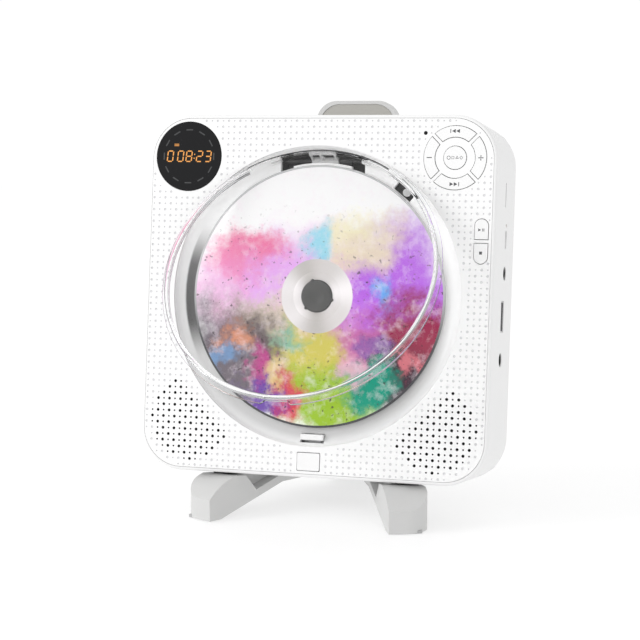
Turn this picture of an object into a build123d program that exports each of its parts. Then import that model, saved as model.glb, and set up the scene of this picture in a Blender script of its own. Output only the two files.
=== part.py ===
from build123d import *

import os
from math import cos, pi, radians, sin, sqrt, tan

# Wall mounted disc player on its leaning desk stand.
#
# The player is drawn upright first: X to the right, Y from its front face to its
# back, Z up, with the origin at the middle of its front face.  It is then leaned
# back and set on the stand.  The finished model stands on Z = 0 with its front
# towards -Y, and its origin is under the middle of its outer box.

# ---------------------------------------------------------------- placing
LEAN = 6.8                   # degrees that the player leans back
EDGE_RISE = 20.38            # the panel's lower front edge above the table

# ---------------------------------------------------------------- player body
BODY_W = 165.0
BODY_H = 165.0
BODY_D = 44.0
BODY_CORNER = 20.0
BODY_EDGE = 1.3              # rounding of the outer edges
WALL = 2.2
COVER_T = 3.0                # depth of the rear cover's edge
FASCIA_INSET = 1.5           # shell rim that shows round the fascia
FASCIA_T = 1.6
FRONT_WALL = 2.0             # shell wall behind the fascia
FIT = 0.15                   # gap round pieces that are laid in

# ---------------------------------------------------------------- disc and well
DISC_R = 60.0
DISC_HOLE_R = 7.5
DISC_T = 1.2
DISC_FACE_Y = 4.4            # disc face behind the front
WELL_GAP = 1.9               # from the disc's rim to the foot of the flare
WELL_LEDGE = 8.0             # white floor of the well, under the disc's rim
COVE_R = 6.6                 # concave flare from the well's rim to the fascia
TRAY_FLOOR_Y = 9.4
TRAY_T = 1.4
TRAY_FLANGE = 2.4
TABLE_R = 14.0
TABLE_T = 2.0
HUB_CLEAR = 0.15
HUB_RISE = 0.9               # hub above the disc's face
CATCH_R = 0.7
CATCH_TURN = 108.0           # angle of the first of the three catches

# ---------------------------------------------------------------- grille
PITCH = 2.75
GRILLE_BIG_R = 0.70
GRILLE_SMALL_R = 0.45
GRILLE_SHIFT = 1.7           # grille centre from the speaker's, towards the well
GRILLE_INSET = 0.35          # grille radius inside the speaker's
GRILLE_AWAY = 5.3            # straight inner side, from the flare

# ---------------------------------------------------------------- lid and hinge
LID_FRONT_R = 62.3
LID_FLANGE = 1.8             # flange round the lid's skirt
LID_FLANGE_T = 1.2
LID_DEPTH = 4.5
LID_T = 1.4
LID_FRONT_Y = 1.5            # closed lid's face behind the front
LID_EDGE = 0.8
LID_OPEN = 26.4              # degrees open at rest
LID_FREE_HALF = 34.0         # the flange stops this far from the middle at the top
HINGE_Y = 12.5
HINGE_RISE = 0.2             # pin above the top of the lid
PIN_R = 1.2
PIN_CLEAR = 0.05
ARM_W = 12.7
ARM_T = 1.6
ARM_SINK = 0.9               # arm's underside below the top of the lid
ARM_FRONT = 3.0              # arm's front end behind the lid's face
ARM_WINDOWS = ((0.9, 4.7), (6.0, 11.6))
BARREL_R = 2.2
BOW_T = 0.8                  # white bow along the lid's rim
BOW_HALF = 19.0
TAB_X = 21.5                 # white end tabs in the lid's skirt
TAB_W = 4.3
TAB_H = 1.5
TAB_D = 1.15
POCKET_HALF = 20.2
POCKET_MIDDLE = 14.0         # half of the well's floor that stays before the pocket
POCKET_RISE = 4.9            # pocket's top above the lid's
POCKET_SINK = 5.8            # its ends reach this far below the lid's top
POCKET_BACK = 17.5
BRACKET_T = 1.4

# ---------------------------------------------------------------- latch and open button
OPEN_W = 10.5
OPEN_FILL = 0.833            # button's share of the room between flare and wall
OPEN_MIDDLE = 0.479
OPEN_TRAVEL = 1.0
LATCH_W = 10.7
LATCH_AWAY = 0.7             # latch below the lid's skirt
LATCH_H = 2.7
LATCH_FRONT_Y = 3.6
LATCH_T = 5.0
LATCH_TRAVEL = 1.0
SWITCH_TURN = 51.2           # where the lid switch sits round the well
SWITCH_L = 11.0
SWITCH_T = 3.6
SWITCH_SLOT = (4.0, 9.4)     # the slot before it, across and along the rim
SWITCH_BUTTON_R = 1.8

# ---------------------------------------------------------------- keys
KEY_GAP = 0.3
KEY_PROUD = 0.3
KEY_T = 2.9
KEY_TRAVEL = 0.8
PAD_SIDE = 5.09              # round key pad from the body's sides
PAD_AWAY = 6.79              # and from the flare
PAD_BAND = 4.86              # width of its four arcs
PAD_SPLIT = 2.0
MODE_INSET = 4.2
ARCH_SIDE = 3.2              # arched keys from the body's side
ARCH_W = 6.0
ARCH_L = 8.9
ARCH_STEP = 10.85
STOP_LOW = 16.45             # lower end of the stop key
STEM_R = 1.5
KEY_BOARD_Y = 6.6
BOARD_T = 1.6

# ---------------------------------------------------------------- display
WINDOW_SIDE = 3.19           # round window from the body's sides
WINDOW_AWAY = 4.89           # and from the flare
WINDOW_T = 1.8
WINDOW_LEDGE = 2.6
DIGITS_INSET = 0.96
DIGITS_H = 11.0
DIGITS_T = 3.6
EYE_AWAY = 3.45              # infrared window from the round key pad
EYE_TURN = 38.66             # angle of its place above the pad's left
EYE_R = 0.75

# ---------------------------------------------------------------- speakers
SPEAKER_SIDE = 0.7           # baskets from the side walls
SPEAKER_AWAY = 0.95          # and from the tray's flange
SPEAKER_Y = 9.4              # front of the basket
SPEAKER_D = 17.0
CONE_INSET = 3.6             # cone's radius inside the basket's
MAGNET_INSET = 7.1
MAGNET_T = 7.0

# ---------------------------------------------------------------- mechanism
CHASSIS_Y = 15.5
CHASSIS_T = 2.0
CHASSIS_SIDE = 1.0           # plate outside the sled's window
CHASSIS_RIGHT = 22.0
CHASSIS_LOW = -28.0
CHASSIS_TOP = 42.0
WINDOW_HALF = 10.0           # half height of the sled's window
ROD_R = 1.5
ROD_CLEAR = 0.05
ROD_Z = 13.0
ROD_Y = 20.5
SLED_W = 18.0
SLED_H = 18.0
SLED_REST = -18.0            # inner end of the sled
LENS_END = 3.2               # how near the disc's rim the lens gets
SLED_FRONT_Y = 11.6
SLED_BACK_Y = 23.0
LENS_R = 2.6
LENS_RIM = 2.2
LENS_INSET = 3.2
SLED_CLEAR = 0.5
GEAR_MODULE = 1.0
GEAR_TEETH = 16
PINION_TEETH = 8
GEAR_X = -30.0
RACK_Z = 11.0                # pitch line of the rack
GEAR_Y = 12.3
GEAR_T = 2.5
AXLE_R = 1.0
SPINDLE_MOTOR_R = 12.0
SPINDLE_MOTOR_D = 8.5
SLED_MOTOR_R = 7.0
SLED_MOTOR_D = 10.5
DAMPER_R = 4.2
POST_R = 2.0
SPINDLE_NOSE_R = 3.0
SPINDLE_DEEP = 6.5
CHASSIS_HEAD_R = 3.0

# ---------------------------------------------------------------- boards and side sockets
MAIN_BOARD_Y = 28.0
MAIN_BOARD_LEFT = 12.0
MAIN_BOARD_LOW = -40.0
MAIN_BOARD_TOP = 60.0
SIDE_SINK = 0.3              # sockets behind the side wall's face
SOCKET_D = 13.0
CARD_Z = 48.6
CARD_Y = 21.5
CARD_L = 11.5
CARD_T = 1.6
LAMP_Z = 34.9
SLIDER_Z = 28.5
SLIDER_L = 8.6
SLIDER_W = 3.4
KNOB_L = 4.6
SLIDER_TRAVEL = 3.4
SWITCH_Y = 24.5
AUDIO_Z = 13.2
AUDIO_Y = 24.3
JACK_R = 3.0
AUDIO_R = 1.8
USB_Z = -6.4
USB_Y = 22.3
USB_L = 14.0
USB_W = 6.0
USB_WALL = 0.5
INLET_Z = -26.0
INLET_Y = 21.0
INLET_R = 2.3
INLET_PIN_R = 0.7

# ---------------------------------------------------------------- rear
HUMP_SIDE = 30.5             # hump from the body's sides
HUMP_UNDER = 24.5            # from its bottom
HUMP_OVER = 20.5             # and from its top
HUMP_BACK_Y = 58.7
HUMP_CORNER = 10.0
KEYHOLE_SIDE = 15.0          # keyholes from the hump's sides
KEYHOLE_TOP = 26.0           # and from its top
KEYHOLE_R = 4.5
KEYHOLE_SLOT_R = 2.2
KEYHOLE_RISE = 9.0
VENT_COUNT = 5
VENT_L = 22.0
VENT_W = 1.8
VENT_STEP = 3.4
VENT_SHIFT = 1.5             # vents outside the speaker's middle
BATTERY = (70.0, 12.0, 56.0)
BATTERY_UNDER = 10.0         # battery below the keyholes
SCREW_INSET = 9.0            # housing screws from the body's sides
SCREW_HEAD_R = 2.9
SCREW_R = 1.4
BOSS_R = 3.4
BOSS_L = 20.0                # length of the corner bosses from the shell's back edge

# ---------------------------------------------------------------- stand
TOE_X = 42.1                 # inner front corner of each toe
TOE_AHEAD = 14.53            # before the panel's lower edge
LEG_TURN = 26.5              # degrees that a leg turns inwards
LEG_W = 19.5
TOE_FRONT_H = 10.2
TOE_RISE_L = 17.4
TOE_CURVE = ((0, 0), (0.10, 0.18), (0.41, 0.63), (0.72, 0.88), (1, 1))
TOE_FLAT = 7.0
TOE_CORNER = 11.0
ARCH_S = 47.0                # where the underside stops rising
ARCH_H = 12.0
NOTCH_W = 6.0
NOTCH_S = (22.9, 29.7, 42.0, 47.0)
NOTCH_LEDGE = 3.8
PAD_T = 1.0
PAD_AIR = 0.2
HUB_AHEAD = 20.0             # hub before the spine's face
HUB_BEHIND = 6.0             # and behind it
HUB_HALF = 33.0
HUB_LOW = 12.2
HUB_TOP = 30.0
HEEL_HALF = 18.0
HEEL_BEHIND = 44.0           # heel's end behind the spine's face
HEEL_L = 15.0
SPINE_AIR = 0.3              # between the rear pads and the player
SPINE_T = 7.0
SPINE_LOW_W = 44.0
SPINE_TOP_W = 41.0
SPINE_OVER = 14.3            # spine above the player
SPINE_UNDER = 4.5            # its end above the player's lower edge
SPINE_CORNER = 10.0
SPINE_RIM = 1.6
SPINE_FACE_UNDER = 28.5      # its sunk face starts above that edge
SPINE_SINK = 1.0
REST_LOW = 52.5              # rear pads, above and below the player's edges
REST_TOP = 36.5
FOOT_T = 1.4
FOOT_PROUD = 0.3
STAND_SCREW_X = 13.0
STAND_SCREW_Z = 20.0
STAND_SCREW_R = 1.5
STAND_HEAD_R = 3.0
STAND_SCREW_SHORT = 6.5      # screw's end before the hub's back
REST_W = 30.0
REST_H = 12.0
REST_CORNER = 3.0

# ---------------------------------------------------------------- worked-out places
LEAN_Y = sin(radians(LEAN))
LEAN_Z = cos(radians(LEAN))
PANEL_RISE = EDGE_RISE + BODY_H / 2 * LEAN_Z
WELL_R = DISC_R + WELL_GAP
FLARE_R = WELL_R + COVE_R
FLARE_OUT_R = FLARE_R + WALL
SHELL_D = BODY_D - COVER_T
FRONT_Y = FASCIA_T + FRONT_WALL
DISC_BACK_Y = DISC_FACE_Y + DISC_T
RING_BACK_Y = COVE_R + WALL
GEAR_R = GEAR_MODULE * GEAR_TEETH / 2
PINION_R = GEAR_MODULE * PINION_TEETH / 2
GEAR_Z = RACK_Z + GEAR_R
PINION_Z = GEAR_Z + GEAR_R + PINION_R
SIDE_X = BODY_W / 2
TOP_Z = BODY_H / 2
FAR = BODY_W + BODY_H


def corner_fit(side_gap, well_gap, well_radius):
    """The circle that fills a corner between the body's sides and the well."""
    a = SIDE_X - side_gap
    b = TOP_Z - side_gap
    c = well_radius + well_gap
    whole = a + b + c
    radius = whole - sqrt(whole ** 2 - (a ** 2 + b ** 2 - c ** 2))
    return a - radius, b - radius, radius


WINDOW_X, WINDOW_Z, WINDOW_R = corner_fit(WINDOW_SIDE, WINDOW_AWAY, FLARE_R)
WINDOW_X = -WINDOW_X
DIGITS_W = 2 * (WINDOW_R - WINDOW_LEDGE - DIGITS_INSET)
PAD_X, PAD_Z, PAD_OUT_R = corner_fit(PAD_SIDE, PAD_AWAY, FLARE_R)
EYE_X = PAD_X - (PAD_OUT_R + EYE_AWAY) * cos(radians(EYE_TURN))
EYE_Z = PAD_Z + (PAD_OUT_R + EYE_AWAY) * sin(radians(EYE_TURN))
PAD_IN_R = PAD_OUT_R - PAD_BAND
MODE_R = PAD_IN_R - MODE_INSET
SPEAKER_X, SPEAKER_Z, SPEAKER_R = corner_fit(
    WALL + SPEAKER_SIDE, TRAY_FLANGE + SPEAKER_AWAY, WELL_R)
SPEAKER_Z = -SPEAKER_Z
CONE_R = SPEAKER_R - CONE_INSET
MAGNET_R = SPEAKER_R - MAGNET_INSET
ARCH_X = SIDE_X - ARCH_SIDE - ARCH_W / 2
ARCH_IN_X = ARCH_X - ARCH_W / 2 - KEY_GAP
ARCH_CLEAR_Z = sqrt(max(0, FLARE_OUT_R ** 2 - ARCH_IN_X ** 2))
STOP_Z = max(STOP_LOW, ARCH_CLEAR_Z) + ARCH_L / 2
PLAY_Z = STOP_Z + ARCH_STEP
OPEN_ROOM = TOP_Z - WALL - FLARE_OUT_R
OPEN_H = OPEN_ROOM * OPEN_FILL
OPEN_Z = -(FLARE_OUT_R + OPEN_ROOM * OPEN_MIDDLE)
LATCH_TOP = -(LID_FRONT_R + LATCH_AWAY)
LID_FLANGE_R = LID_FRONT_R + LID_FLANGE
HINGE_Z = LID_FRONT_R + HINGE_RISE
ARM_LOW = LID_FRONT_R - ARM_SINK
POCKET_R = LID_FRONT_R + POCKET_RISE
POCKET_TOP = POCKET_R + FIT
POCKET_LOW = LID_FRONT_R - POCKET_SINK
LENS_X = SLED_REST - LENS_R - LENS_INSET
SLED_TRAVEL = DISC_R - LENS_END + LENS_X
LENS_REACH = LENS_X - SLED_TRAVEL - LENS_R - LENS_RIM - SLED_CLEAR
CHASSIS_LEFT = SLED_REST - SLED_W - SLED_TRAVEL - 2 - CHASSIS_SIDE
SCREW_X = SIDE_X - SCREW_INSET
SCREW_Z = TOP_Z - SCREW_INSET
HUMP_W = BODY_W - 2 * HUMP_SIDE
HUMP_LOW = HUMP_UNDER - TOP_Z
HUMP_TOP = TOP_Z - HUMP_OVER
KEYHOLE_X = HUMP_W / 2 - KEYHOLE_SIDE
KEYHOLE_Z = HUMP_TOP - KEYHOLE_TOP
SPINE_Y = HUMP_BACK_Y + SPINE_AIR + PAD_T
SPINE_TOP = TOP_Z + SPINE_OVER
SPINE_LOW = SPINE_UNDER - TOP_Z
SPINE_FACE_LOW = SPINE_FACE_UNDER - TOP_Z
HUB_FRONT_Y = SPINE_Y - HUB_AHEAD
HUB_BACK_Y = SPINE_Y + HUB_BEHIND
HEEL_BACK_Y = SPINE_Y + HEEL_BEHIND
TOE_Y = -TOP_Z * LEAN_Y - TOE_AHEAD
LID_TURN = radians(LEAN + LID_OPEN)
LID_ARM_Y = HINGE_Y - LID_FRONT_Y - LID_EDGE
LID_ARM_Z = HINGE_Z + LID_FRONT_R - LID_EDGE
LID_REACH_Y = HINGE_Y * LEAN_Z + HINGE_Z * LEAN_Y - LID_EDGE
LID_REACH_Y -= LID_ARM_Y * cos(LID_TURN) + LID_ARM_Z * sin(LID_TURN)
STAND_MIDDLE_Y = (LID_REACH_Y + HEEL_BACK_Y) / 2
ON_STAND = Pos(0, -STAND_MIDDLE_Y, PANEL_RISE) * Rot(X=-LEAN)
ON_TABLE = Pos(0, -STAND_MIDDLE_Y, 0)


# ---------------------------------------------------------------- helpers
def slab(outline, y_front, y_back):
    """A plate between two depths, from an outline drawn in X and Z."""
    return extrude(Plane.XZ.offset(-y_back) * outline, amount=y_back - y_front)


def rod(x, z, radius, y_front, y_back):
    """A round bar along the depth."""
    return slab(Pos(x, z) * Circle(radius), y_front, y_back)


def cross_bar(y, z, radius, x_left, x_right):
    """A round bar from left to right."""
    return Pos(x_left, y, z) * Rot(Y=90) * extrude(Circle(radius), amount=x_right - x_left)


def block(x0, x1, y0, y1, z0, z1):
    """A box between two corners."""
    return Pos((x0 + x1) / 2, (y0 + y1) / 2, (z0 + z1) / 2) * Box(x1 - x0, y1 - y0, z1 - z0)


def spun(*points):
    """A turned piece: points are (radius, depth), turned about the well's axis."""
    return revolve(make_face(Polyline(*points, close=True)), Axis.Y)


def rounded(width, height, corner):
    return RectangleRounded(width, height, corner)


def side_cut(z, y, length, width, radius, deep):
    """A rounded slot cut inwards from the right side wall."""
    outline = RectangleRounded(length, width, radius)
    return Pos(SIDE_X - deep, y, z) * Rot(Y=90) * extrude(outline, amount=deep + 1)


def write(name, *solids):
    """Lean the player's pieces back onto the stand and save them as one node."""
    save(name, [ON_STAND * s for s in solids])


def write_stand(name, *solids):
    save(name, [ON_TABLE * s for s in solids])


def save(name, solids):
    pieces = [piece for s in solids for piece in s.solids()]
    part = pieces[0] if len(pieces) == 1 else Compound(children=pieces)
    part.label = name
    export_step(part, f"parts/{name}.step")


# ---------------------------------------------------------------- key outlines
def arc_key(turn, grow=0.0):
    """One of the four arcs of the round key pad, facing the given angle."""
    tip = sqrt(2) * (PAD_SPLIT / 2 - grow)
    reach = 3 * PAD_OUT_R
    wedge = make_face(Polyline(
        (tip, 0), (tip + reach, reach), (tip + reach, -reach), close=True))
    ring = Circle(PAD_OUT_R + grow) - Circle(PAD_IN_R - grow)
    return Pos(PAD_X, PAD_Z) * Rot(Z=turn) * (ring & wedge)


def arch_key(z, round_side, grow=0.0):
    """A key with one half-round end, above (1) or below (-1)."""
    half = ARCH_W / 2
    straight = ARCH_L - half
    flat = Pos(0, -round_side * half / 2) * Rectangle(ARCH_W + 2 * grow, straight + 2 * grow)
    end = Pos(0, round_side * (ARCH_L / 2 - half)) * Circle(half + grow)
    return Pos(ARCH_X, z) * (flat + end)


def mode_key(grow=0.0):
    return Pos(PAD_X, PAD_Z) * Circle(MODE_R + grow)


def open_key(grow=0.0):
    return Pos(0, OPEN_Z) * RectangleRounded(OPEN_W + 2 * grow, OPEN_H + 2 * grow, 0.5)


KEYS = {
    "next_key": lambda grow=0.0: arc_key(-90, grow),
    "previous_key": lambda grow=0.0: arc_key(90, grow),
    "louder_key": lambda grow=0.0: arc_key(0, grow),
    "quieter_key": lambda grow=0.0: arc_key(180, grow),
    "mode_key": mode_key,
    "play_key": lambda grow=0.0: arch_key(PLAY_Z, 1, grow),
    "stop_key": lambda grow=0.0: arch_key(STOP_Z, -1, grow),
}
PAD_TURNS = {"next_key": -90, "previous_key": 90, "louder_key": 0, "quieter_key": 180}


def key_centre(name):
    """Where a key's stem stands."""
    if name in PAD_TURNS:
        middle = (PAD_OUT_R + PAD_IN_R) / 2
        turn = radians(PAD_TURNS[name])
        return PAD_X + middle * cos(turn), PAD_Z + middle * sin(turn)
    return {"mode_key": (PAD_X, PAD_Z), "play_key": (ARCH_X, PLAY_Z),
            "stop_key": (ARCH_X, STOP_Z)}[name]


def grille_holes():
    """Round-looking holes over one speaker, big and small by turns."""
    big, small = [], []
    reach = SPEAKER_R - GRILLE_INSET
    middle_x, middle_z = SPEAKER_X - GRILLE_SHIFT, -SPEAKER_Z - GRILLE_SHIFT
    away = sqrt(2) * (FLARE_R + GRILLE_AWAY)
    for i in range(int(SIDE_X / PITCH)):
        for j in range(int(TOP_Z / PITCH)):
            x, z = i * PITCH, j * PITCH
            inside = (x - middle_x) ** 2 + (z - middle_z) ** 2 <= reach ** 2
            if inside and x + z >= away:
                target = small if (i + j) % 2 == 0 else big
                target.append((x, -z))
    return big, small


# ---------------------------------------------------------------- front
def front_fascia():
    width = BODY_W - 2 * FASCIA_INSET - 2 * FIT
    height = BODY_H - 2 * FASCIA_INSET - 2 * FIT
    outline = rounded(width, height, BODY_CORNER - FASCIA_INSET)
    outline -= Circle(FLARE_R)
    outline -= Pos(WINDOW_X, WINDOW_Z) * Circle(WINDOW_R + FIT)
    outline -= Pos(EYE_X, EYE_Z) * Circle(EYE_R + FIT)
    outline -= open_key(KEY_GAP)
    for shape in KEYS.values():
        outline -= shape(KEY_GAP)
    big, small = grille_holes()
    for side in (1, -1):
        outline -= [Pos(side * x, z) * RegularPolygon(GRILLE_BIG_R, 6) for x, z in big]
        outline -= [Pos(side * x, z) * RegularPolygon(GRILLE_SMALL_R, 4) for x, z in small]
    return slab(outline, 0, FASCIA_T)


def flare():
    """The concave flare round the well and the ledge that it runs into, with an even wall."""
    outer = Pos(WELL_R, 0) * Circle(COVE_R + WALL)
    inner = Pos(WELL_R, 0) * Circle(COVE_R)
    reach = COVE_R + WALL
    quarter = Pos(WELL_R + reach / 2, FASCIA_T + reach / 2) * Rectangle(reach, reach)
    ring = revolve((outer - inner) & quarter, Axis.Y)
    ledge = Circle(WELL_R + 0.1) - Circle(WELL_R - WELL_LEDGE)
    ring += slab(ledge, COVE_R, RING_BACK_Y)
    half = LENS_R + LENS_RIM + SLED_CLEAR
    beam = block(0.2 - DISC_R, 0, COVE_R - 1, RING_BACK_Y + 1, -half, half)
    return ring - beam


def well_space():
    """The open space of the well, in front of the flare."""
    bowl = revolve(Pos(WELL_R, 0) * Circle(COVE_R), Axis.Y)
    return bowl + rod(0, 0, WELL_R, -1, COVE_R) + rod(0, 0, WELL_R - WELL_LEDGE, -1, SPEAKER_Y)


def hinge_pocket():
    """The opening above the disc that the lid's arm swings in."""
    wide = Pos(0, POCKET_R / 2) * Rectangle(2 * POCKET_HALF, POCKET_R)
    opening = Circle(POCKET_R) & wide
    opening -= Pos(0, POCKET_LOW / 2) * Rectangle(3 * POCKET_HALF, POCKET_LOW)
    middle = Pos(0, POCKET_R / 2) * Rectangle(2 * POCKET_MIDDLE, POCKET_R)
    opening -= Circle(ARM_LOW - HUB_CLEAR - 0.05) & middle
    return slab(opening, FASCIA_T + 0.8, RING_BACK_Y + 1)


def front_shell():
    shell = slab(rounded(BODY_W, BODY_H, BODY_CORNER), 0, SHELL_D)
    shell = fillet(shell.edges().group_by(Axis.Y)[0], BODY_EDGE)
    inner_w, inner_h = BODY_W - 2 * WALL, BODY_H - 2 * WALL
    shell -= slab(rounded(inner_w, inner_h, BODY_CORNER - WALL), FRONT_Y, SHELL_D + 1)
    seat_w, seat_h = BODY_W - 2 * FASCIA_INSET, BODY_H - 2 * FASCIA_INSET
    shell -= slab(rounded(seat_w, seat_h, BODY_CORNER - FASCIA_INSET), -1, FASCIA_T)
    holes = Circle(FLARE_R + WALL / 2)
    holes += Pos(PAD_X, PAD_Z) * Circle(PAD_OUT_R + KEY_GAP)
    holes += Pos(ARCH_X, (PLAY_Z + STOP_Z) / 2) * Rectangle(
        ARCH_W + 2 * KEY_GAP, PLAY_Z - STOP_Z + ARCH_L + 2 * KEY_GAP)
    holes += Pos(WINDOW_X, WINDOW_Z) * Circle(WINDOW_R - WINDOW_LEDGE)
    holes += Pos(EYE_X, EYE_Z) * Circle(EYE_R + FIT)
    holes += open_key(KEY_GAP)
    for side in (1, -1):
        holes += Pos(side * SPEAKER_X, SPEAKER_Z) * Circle(SPEAKER_R - WALL)
    shell -= slab(holes, -1, FRONT_Y + 1)
    for side in (1, -1):
        boss = Circle(SPEAKER_R + WALL / 3) - Circle(SPEAKER_R - WALL)
        shell += slab(Pos(side * SPEAKER_X, SPEAKER_Z) * boss, FRONT_Y - 0.5, SPEAKER_Y - 0.1)
    shell -= well_space()
    shell += flare()
    for x in (-SCREW_X, SCREW_X):
        for z in (-SCREW_Z, SCREW_Z):
            boss = rod(x, z, BOSS_R, SHELL_D - BOSS_L, SHELL_D - 0.2)
            shell += boss - rod(x, z, SCREW_R, SHELL_D - 12, SHELL_D + 1)
    shell -= hinge_pocket()
    slot_low = LATCH_TOP - LATCH_H - LATCH_TRAVEL - 0.25
    half = LATCH_W / 2 + KEY_GAP
    shell -= block(-half, half, LATCH_FRONT_Y - 0.3, RING_BACK_Y + 1, slot_low, LATCH_TOP + 0.25)
    shell -= switch_slot(0.3)
    for cut in side_openings():
        shell -= cut
    return shell


def at_switch(piece):
    """Carry a piece drawn at the well's rim to the lid switch's place."""
    turn = radians(SWITCH_TURN)
    radius = WELL_R + 0.5
    return Pos(radius * cos(turn), 0, radius * sin(turn)) * Rot(Y=-SWITCH_TURN) * piece


def switch_slot(grow):
    """The slot in the flare before the lid switch."""
    across, along = SWITCH_SLOT
    half, reach = across / 2 + grow, along / 2 + grow
    return at_switch(block(-half, half, 3.0, RING_BACK_Y + 1.2, -reach, reach))


def switch_body(grow):
    half = SWITCH_L / 2 + grow
    front = RING_BACK_Y + 0.1
    return at_switch(block(-grow, 4.0 + grow, front - grow, front + SWITCH_T + grow, -half, half))


def side_openings():
    """Openings of the right side wall for the sockets behind it."""
    deep = WALL + 1
    return [
        side_cut(CARD_Z, CARD_Y, CARD_L, CARD_T, CARD_T / 2 - 0.01, deep),
        side_cut(LAMP_Z, SWITCH_Y, 1.8, 1.79, 0.89, deep),
        side_cut(SLIDER_Z, SWITCH_Y, SLIDER_L, SLIDER_W, SLIDER_W / 2 - 0.01, deep),
        side_cut(AUDIO_Z, AUDIO_Y, 2 * (JACK_R + FIT), 2 * (JACK_R + FIT), JACK_R, deep),
        side_cut(INLET_Z, INLET_Y, 2 * (JACK_R + FIT), 2 * (JACK_R + FIT), JACK_R, deep),
        side_cut(USB_Z, USB_Y, USB_L + 2 * FIT, USB_W + 2 * FIT, 0.2, deep),
    ]


def display_window():
    window = rod(WINDOW_X, WINDOW_Z, WINDOW_R, FASCIA_T - WINDOW_T, FASCIA_T)
    return fillet(window.edges().group_by(Axis.Y)[0], 0.15)


def display_board():
    front = FRONT_Y + DIGITS_T
    board = slab(Pos(WINDOW_X, WINDOW_Z) * Circle(WINDOW_R - 1.5), front, front + BOARD_T)
    digits = Pos(WINDOW_X, WINDOW_Z) * Rectangle(DIGITS_W, DIGITS_H)
    return board + slab(digits, FRONT_Y + 0.1, front)


# ---------------------------------------------------------------- keys and boards
def key(name):
    """A key cap with its stem, proud of the fascia."""
    x, z = key_centre(name)
    cap = slab(KEYS[name](), -KEY_PROUD, KEY_T - KEY_PROUD)
    return cap + rod(x, z, STEM_R, KEY_T - KEY_PROUD, KEY_BOARD_Y - KEY_TRAVEL - 0.2)


def key_board():
    strip_top = PAD_Z
    strip_low = STOP_Z - ARCH_L / 2
    left = ARCH_IN_X - KEY_GAP
    right = SIDE_X - WALL - 0.3
    outline = Pos(PAD_X, PAD_Z) * Circle(PAD_OUT_R + 0.4)
    strip = Rectangle(right - left, strip_top - strip_low)
    outline += Pos((left + right) / 2, (strip_top + strip_low) / 2) * strip
    return slab(outline, KEY_BOARD_Y, KEY_BOARD_Y + BOARD_T)


def open_button():
    cap = slab(open_key(), -KEY_PROUD, KEY_T + 1.4)
    stem_end = LATCH_FRONT_Y + LATCH_T - OPEN_TRAVEL - 0.2
    half = 0.3 * OPEN_H
    return cap + block(-2.2, 2.2, KEY_T + 1.4, stem_end, OPEN_Z - half, OPEN_Z + half)


def lid_latch():
    """A bar that shows in the flare, with its stem down behind the open button."""
    half = LATCH_W / 2
    low = LATCH_TOP - LATCH_H
    back = LATCH_FRONT_Y + LATCH_T
    bar = block(-half, half, LATCH_FRONT_Y, back, low, LATCH_TOP)
    nose = bar.edges().filter_by(Axis.X).sort_by(Axis.Y)[:2]
    bar = fillet(nose, 0.5)
    front = RING_BACK_Y + 0.3
    bar += block(-half, half, front, front + 1.2, low - LATCH_TRAVEL - 1.8, LATCH_TOP + 1.8)
    stem = block(-3.0, 3.0, back - 0.1, back + 1.6, OPEN_Z - 0.3 * OPEN_H, low + 1.5)
    return bar + stem


# ---------------------------------------------------------------- disc drive
def disc():
    return slab(Circle(DISC_R) - Circle(DISC_HOLE_R), DISC_FACE_Y, DISC_BACK_Y)


def turntable():
    """The rubber-topped table, with the spindle that runs in the motor."""
    table = rod(0, 0, TABLE_R, DISC_BACK_Y, DISC_BACK_Y + TABLE_T)
    table = fillet(table.edges().sort_by(Axis.Y)[-1:], 0.6)
    boss = rod(0, 0, 4.0, DISC_BACK_Y + TABLE_T, CHASSIS_Y - 1.0)
    spindle = rod(0, 0, AXLE_R, CHASSIS_Y - 1.0, CHASSIS_Y + CHASSIS_T + 6)
    return table + boss + spindle


def disc_hub():
    """The hub that the disc snaps onto, with three sprung catches."""
    radius = DISC_HOLE_R - HUB_CLEAR
    front = DISC_FACE_Y - HUB_RISE
    hub = spun((0, front), (radius - 1.0, front), (radius, front + 0.6), (radius, DISC_BACK_Y),
               (0, DISC_BACK_Y))
    hub -= spun((0, front - 1), (3.0, front - 1), (2.6, front + 0.25), (0, front + 0.25))
    for k in range(3):
        turn = radians(CATCH_TURN + 120 * k)
        x, z = radius * cos(turn), radius * sin(turn)
        hub += rod(x, z, CATCH_R, front + 0.1, DISC_FACE_Y - 0.05)
    return hub


def deck_tray():
    """The dark floor of the well, with posts for the mechanism behind it."""
    foot = WELL_R - WELL_LEDGE - FIT
    flange = WELL_R + TRAY_FLANGE
    back = TRAY_FLOOR_Y + TRAY_T
    lip_y = RING_BACK_Y + 0.1
    tray = spun((0, TRAY_FLOOR_Y), (foot - 1.4, TRAY_FLOOR_Y), (foot - 1.4, COVE_R + 0.6),
                (foot, COVE_R + 0.6), (foot, lip_y), (flange, lip_y), (flange, back), (0, back))
    tray -= rod(0, 0, TABLE_R + 2, TRAY_FLOOR_Y - 1, back + 1)
    tray -= block(LENS_REACH, 0, COVE_R, back + 1, -WINDOW_HALF, WINDOW_HALF)
    for x, z in damper_places():
        tray += rod(x, z, POST_R, back - 0.5, CHASSIS_Y + CHASSIS_T + 2) - rod(
            x, z, 0.9, CHASSIS_Y, CHASSIS_Y + CHASSIS_T + 3)
    pocket = block(-POCKET_HALF - BRACKET_T - FIT, POCKET_HALF + BRACKET_T + FIT, 0, back + 1,
                   POCKET_LOW - BRACKET_T, POCKET_TOP + 4)
    latch = block(-LATCH_W / 2 - 1, LATCH_W / 2 + 1, 0, back + 1, -WELL_R - 8, LATCH_TOP + 2.8)
    return tray - pocket - latch - switch_slot(0.8) - switch_body(0.3)


def damper_places():
    inset = DAMPER_R + 1.5
    return [(x, z) for x in (-46.0, CHASSIS_RIGHT - inset)
            for z in (CHASSIS_LOW + inset, CHASSIS_TOP - inset)]


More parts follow.
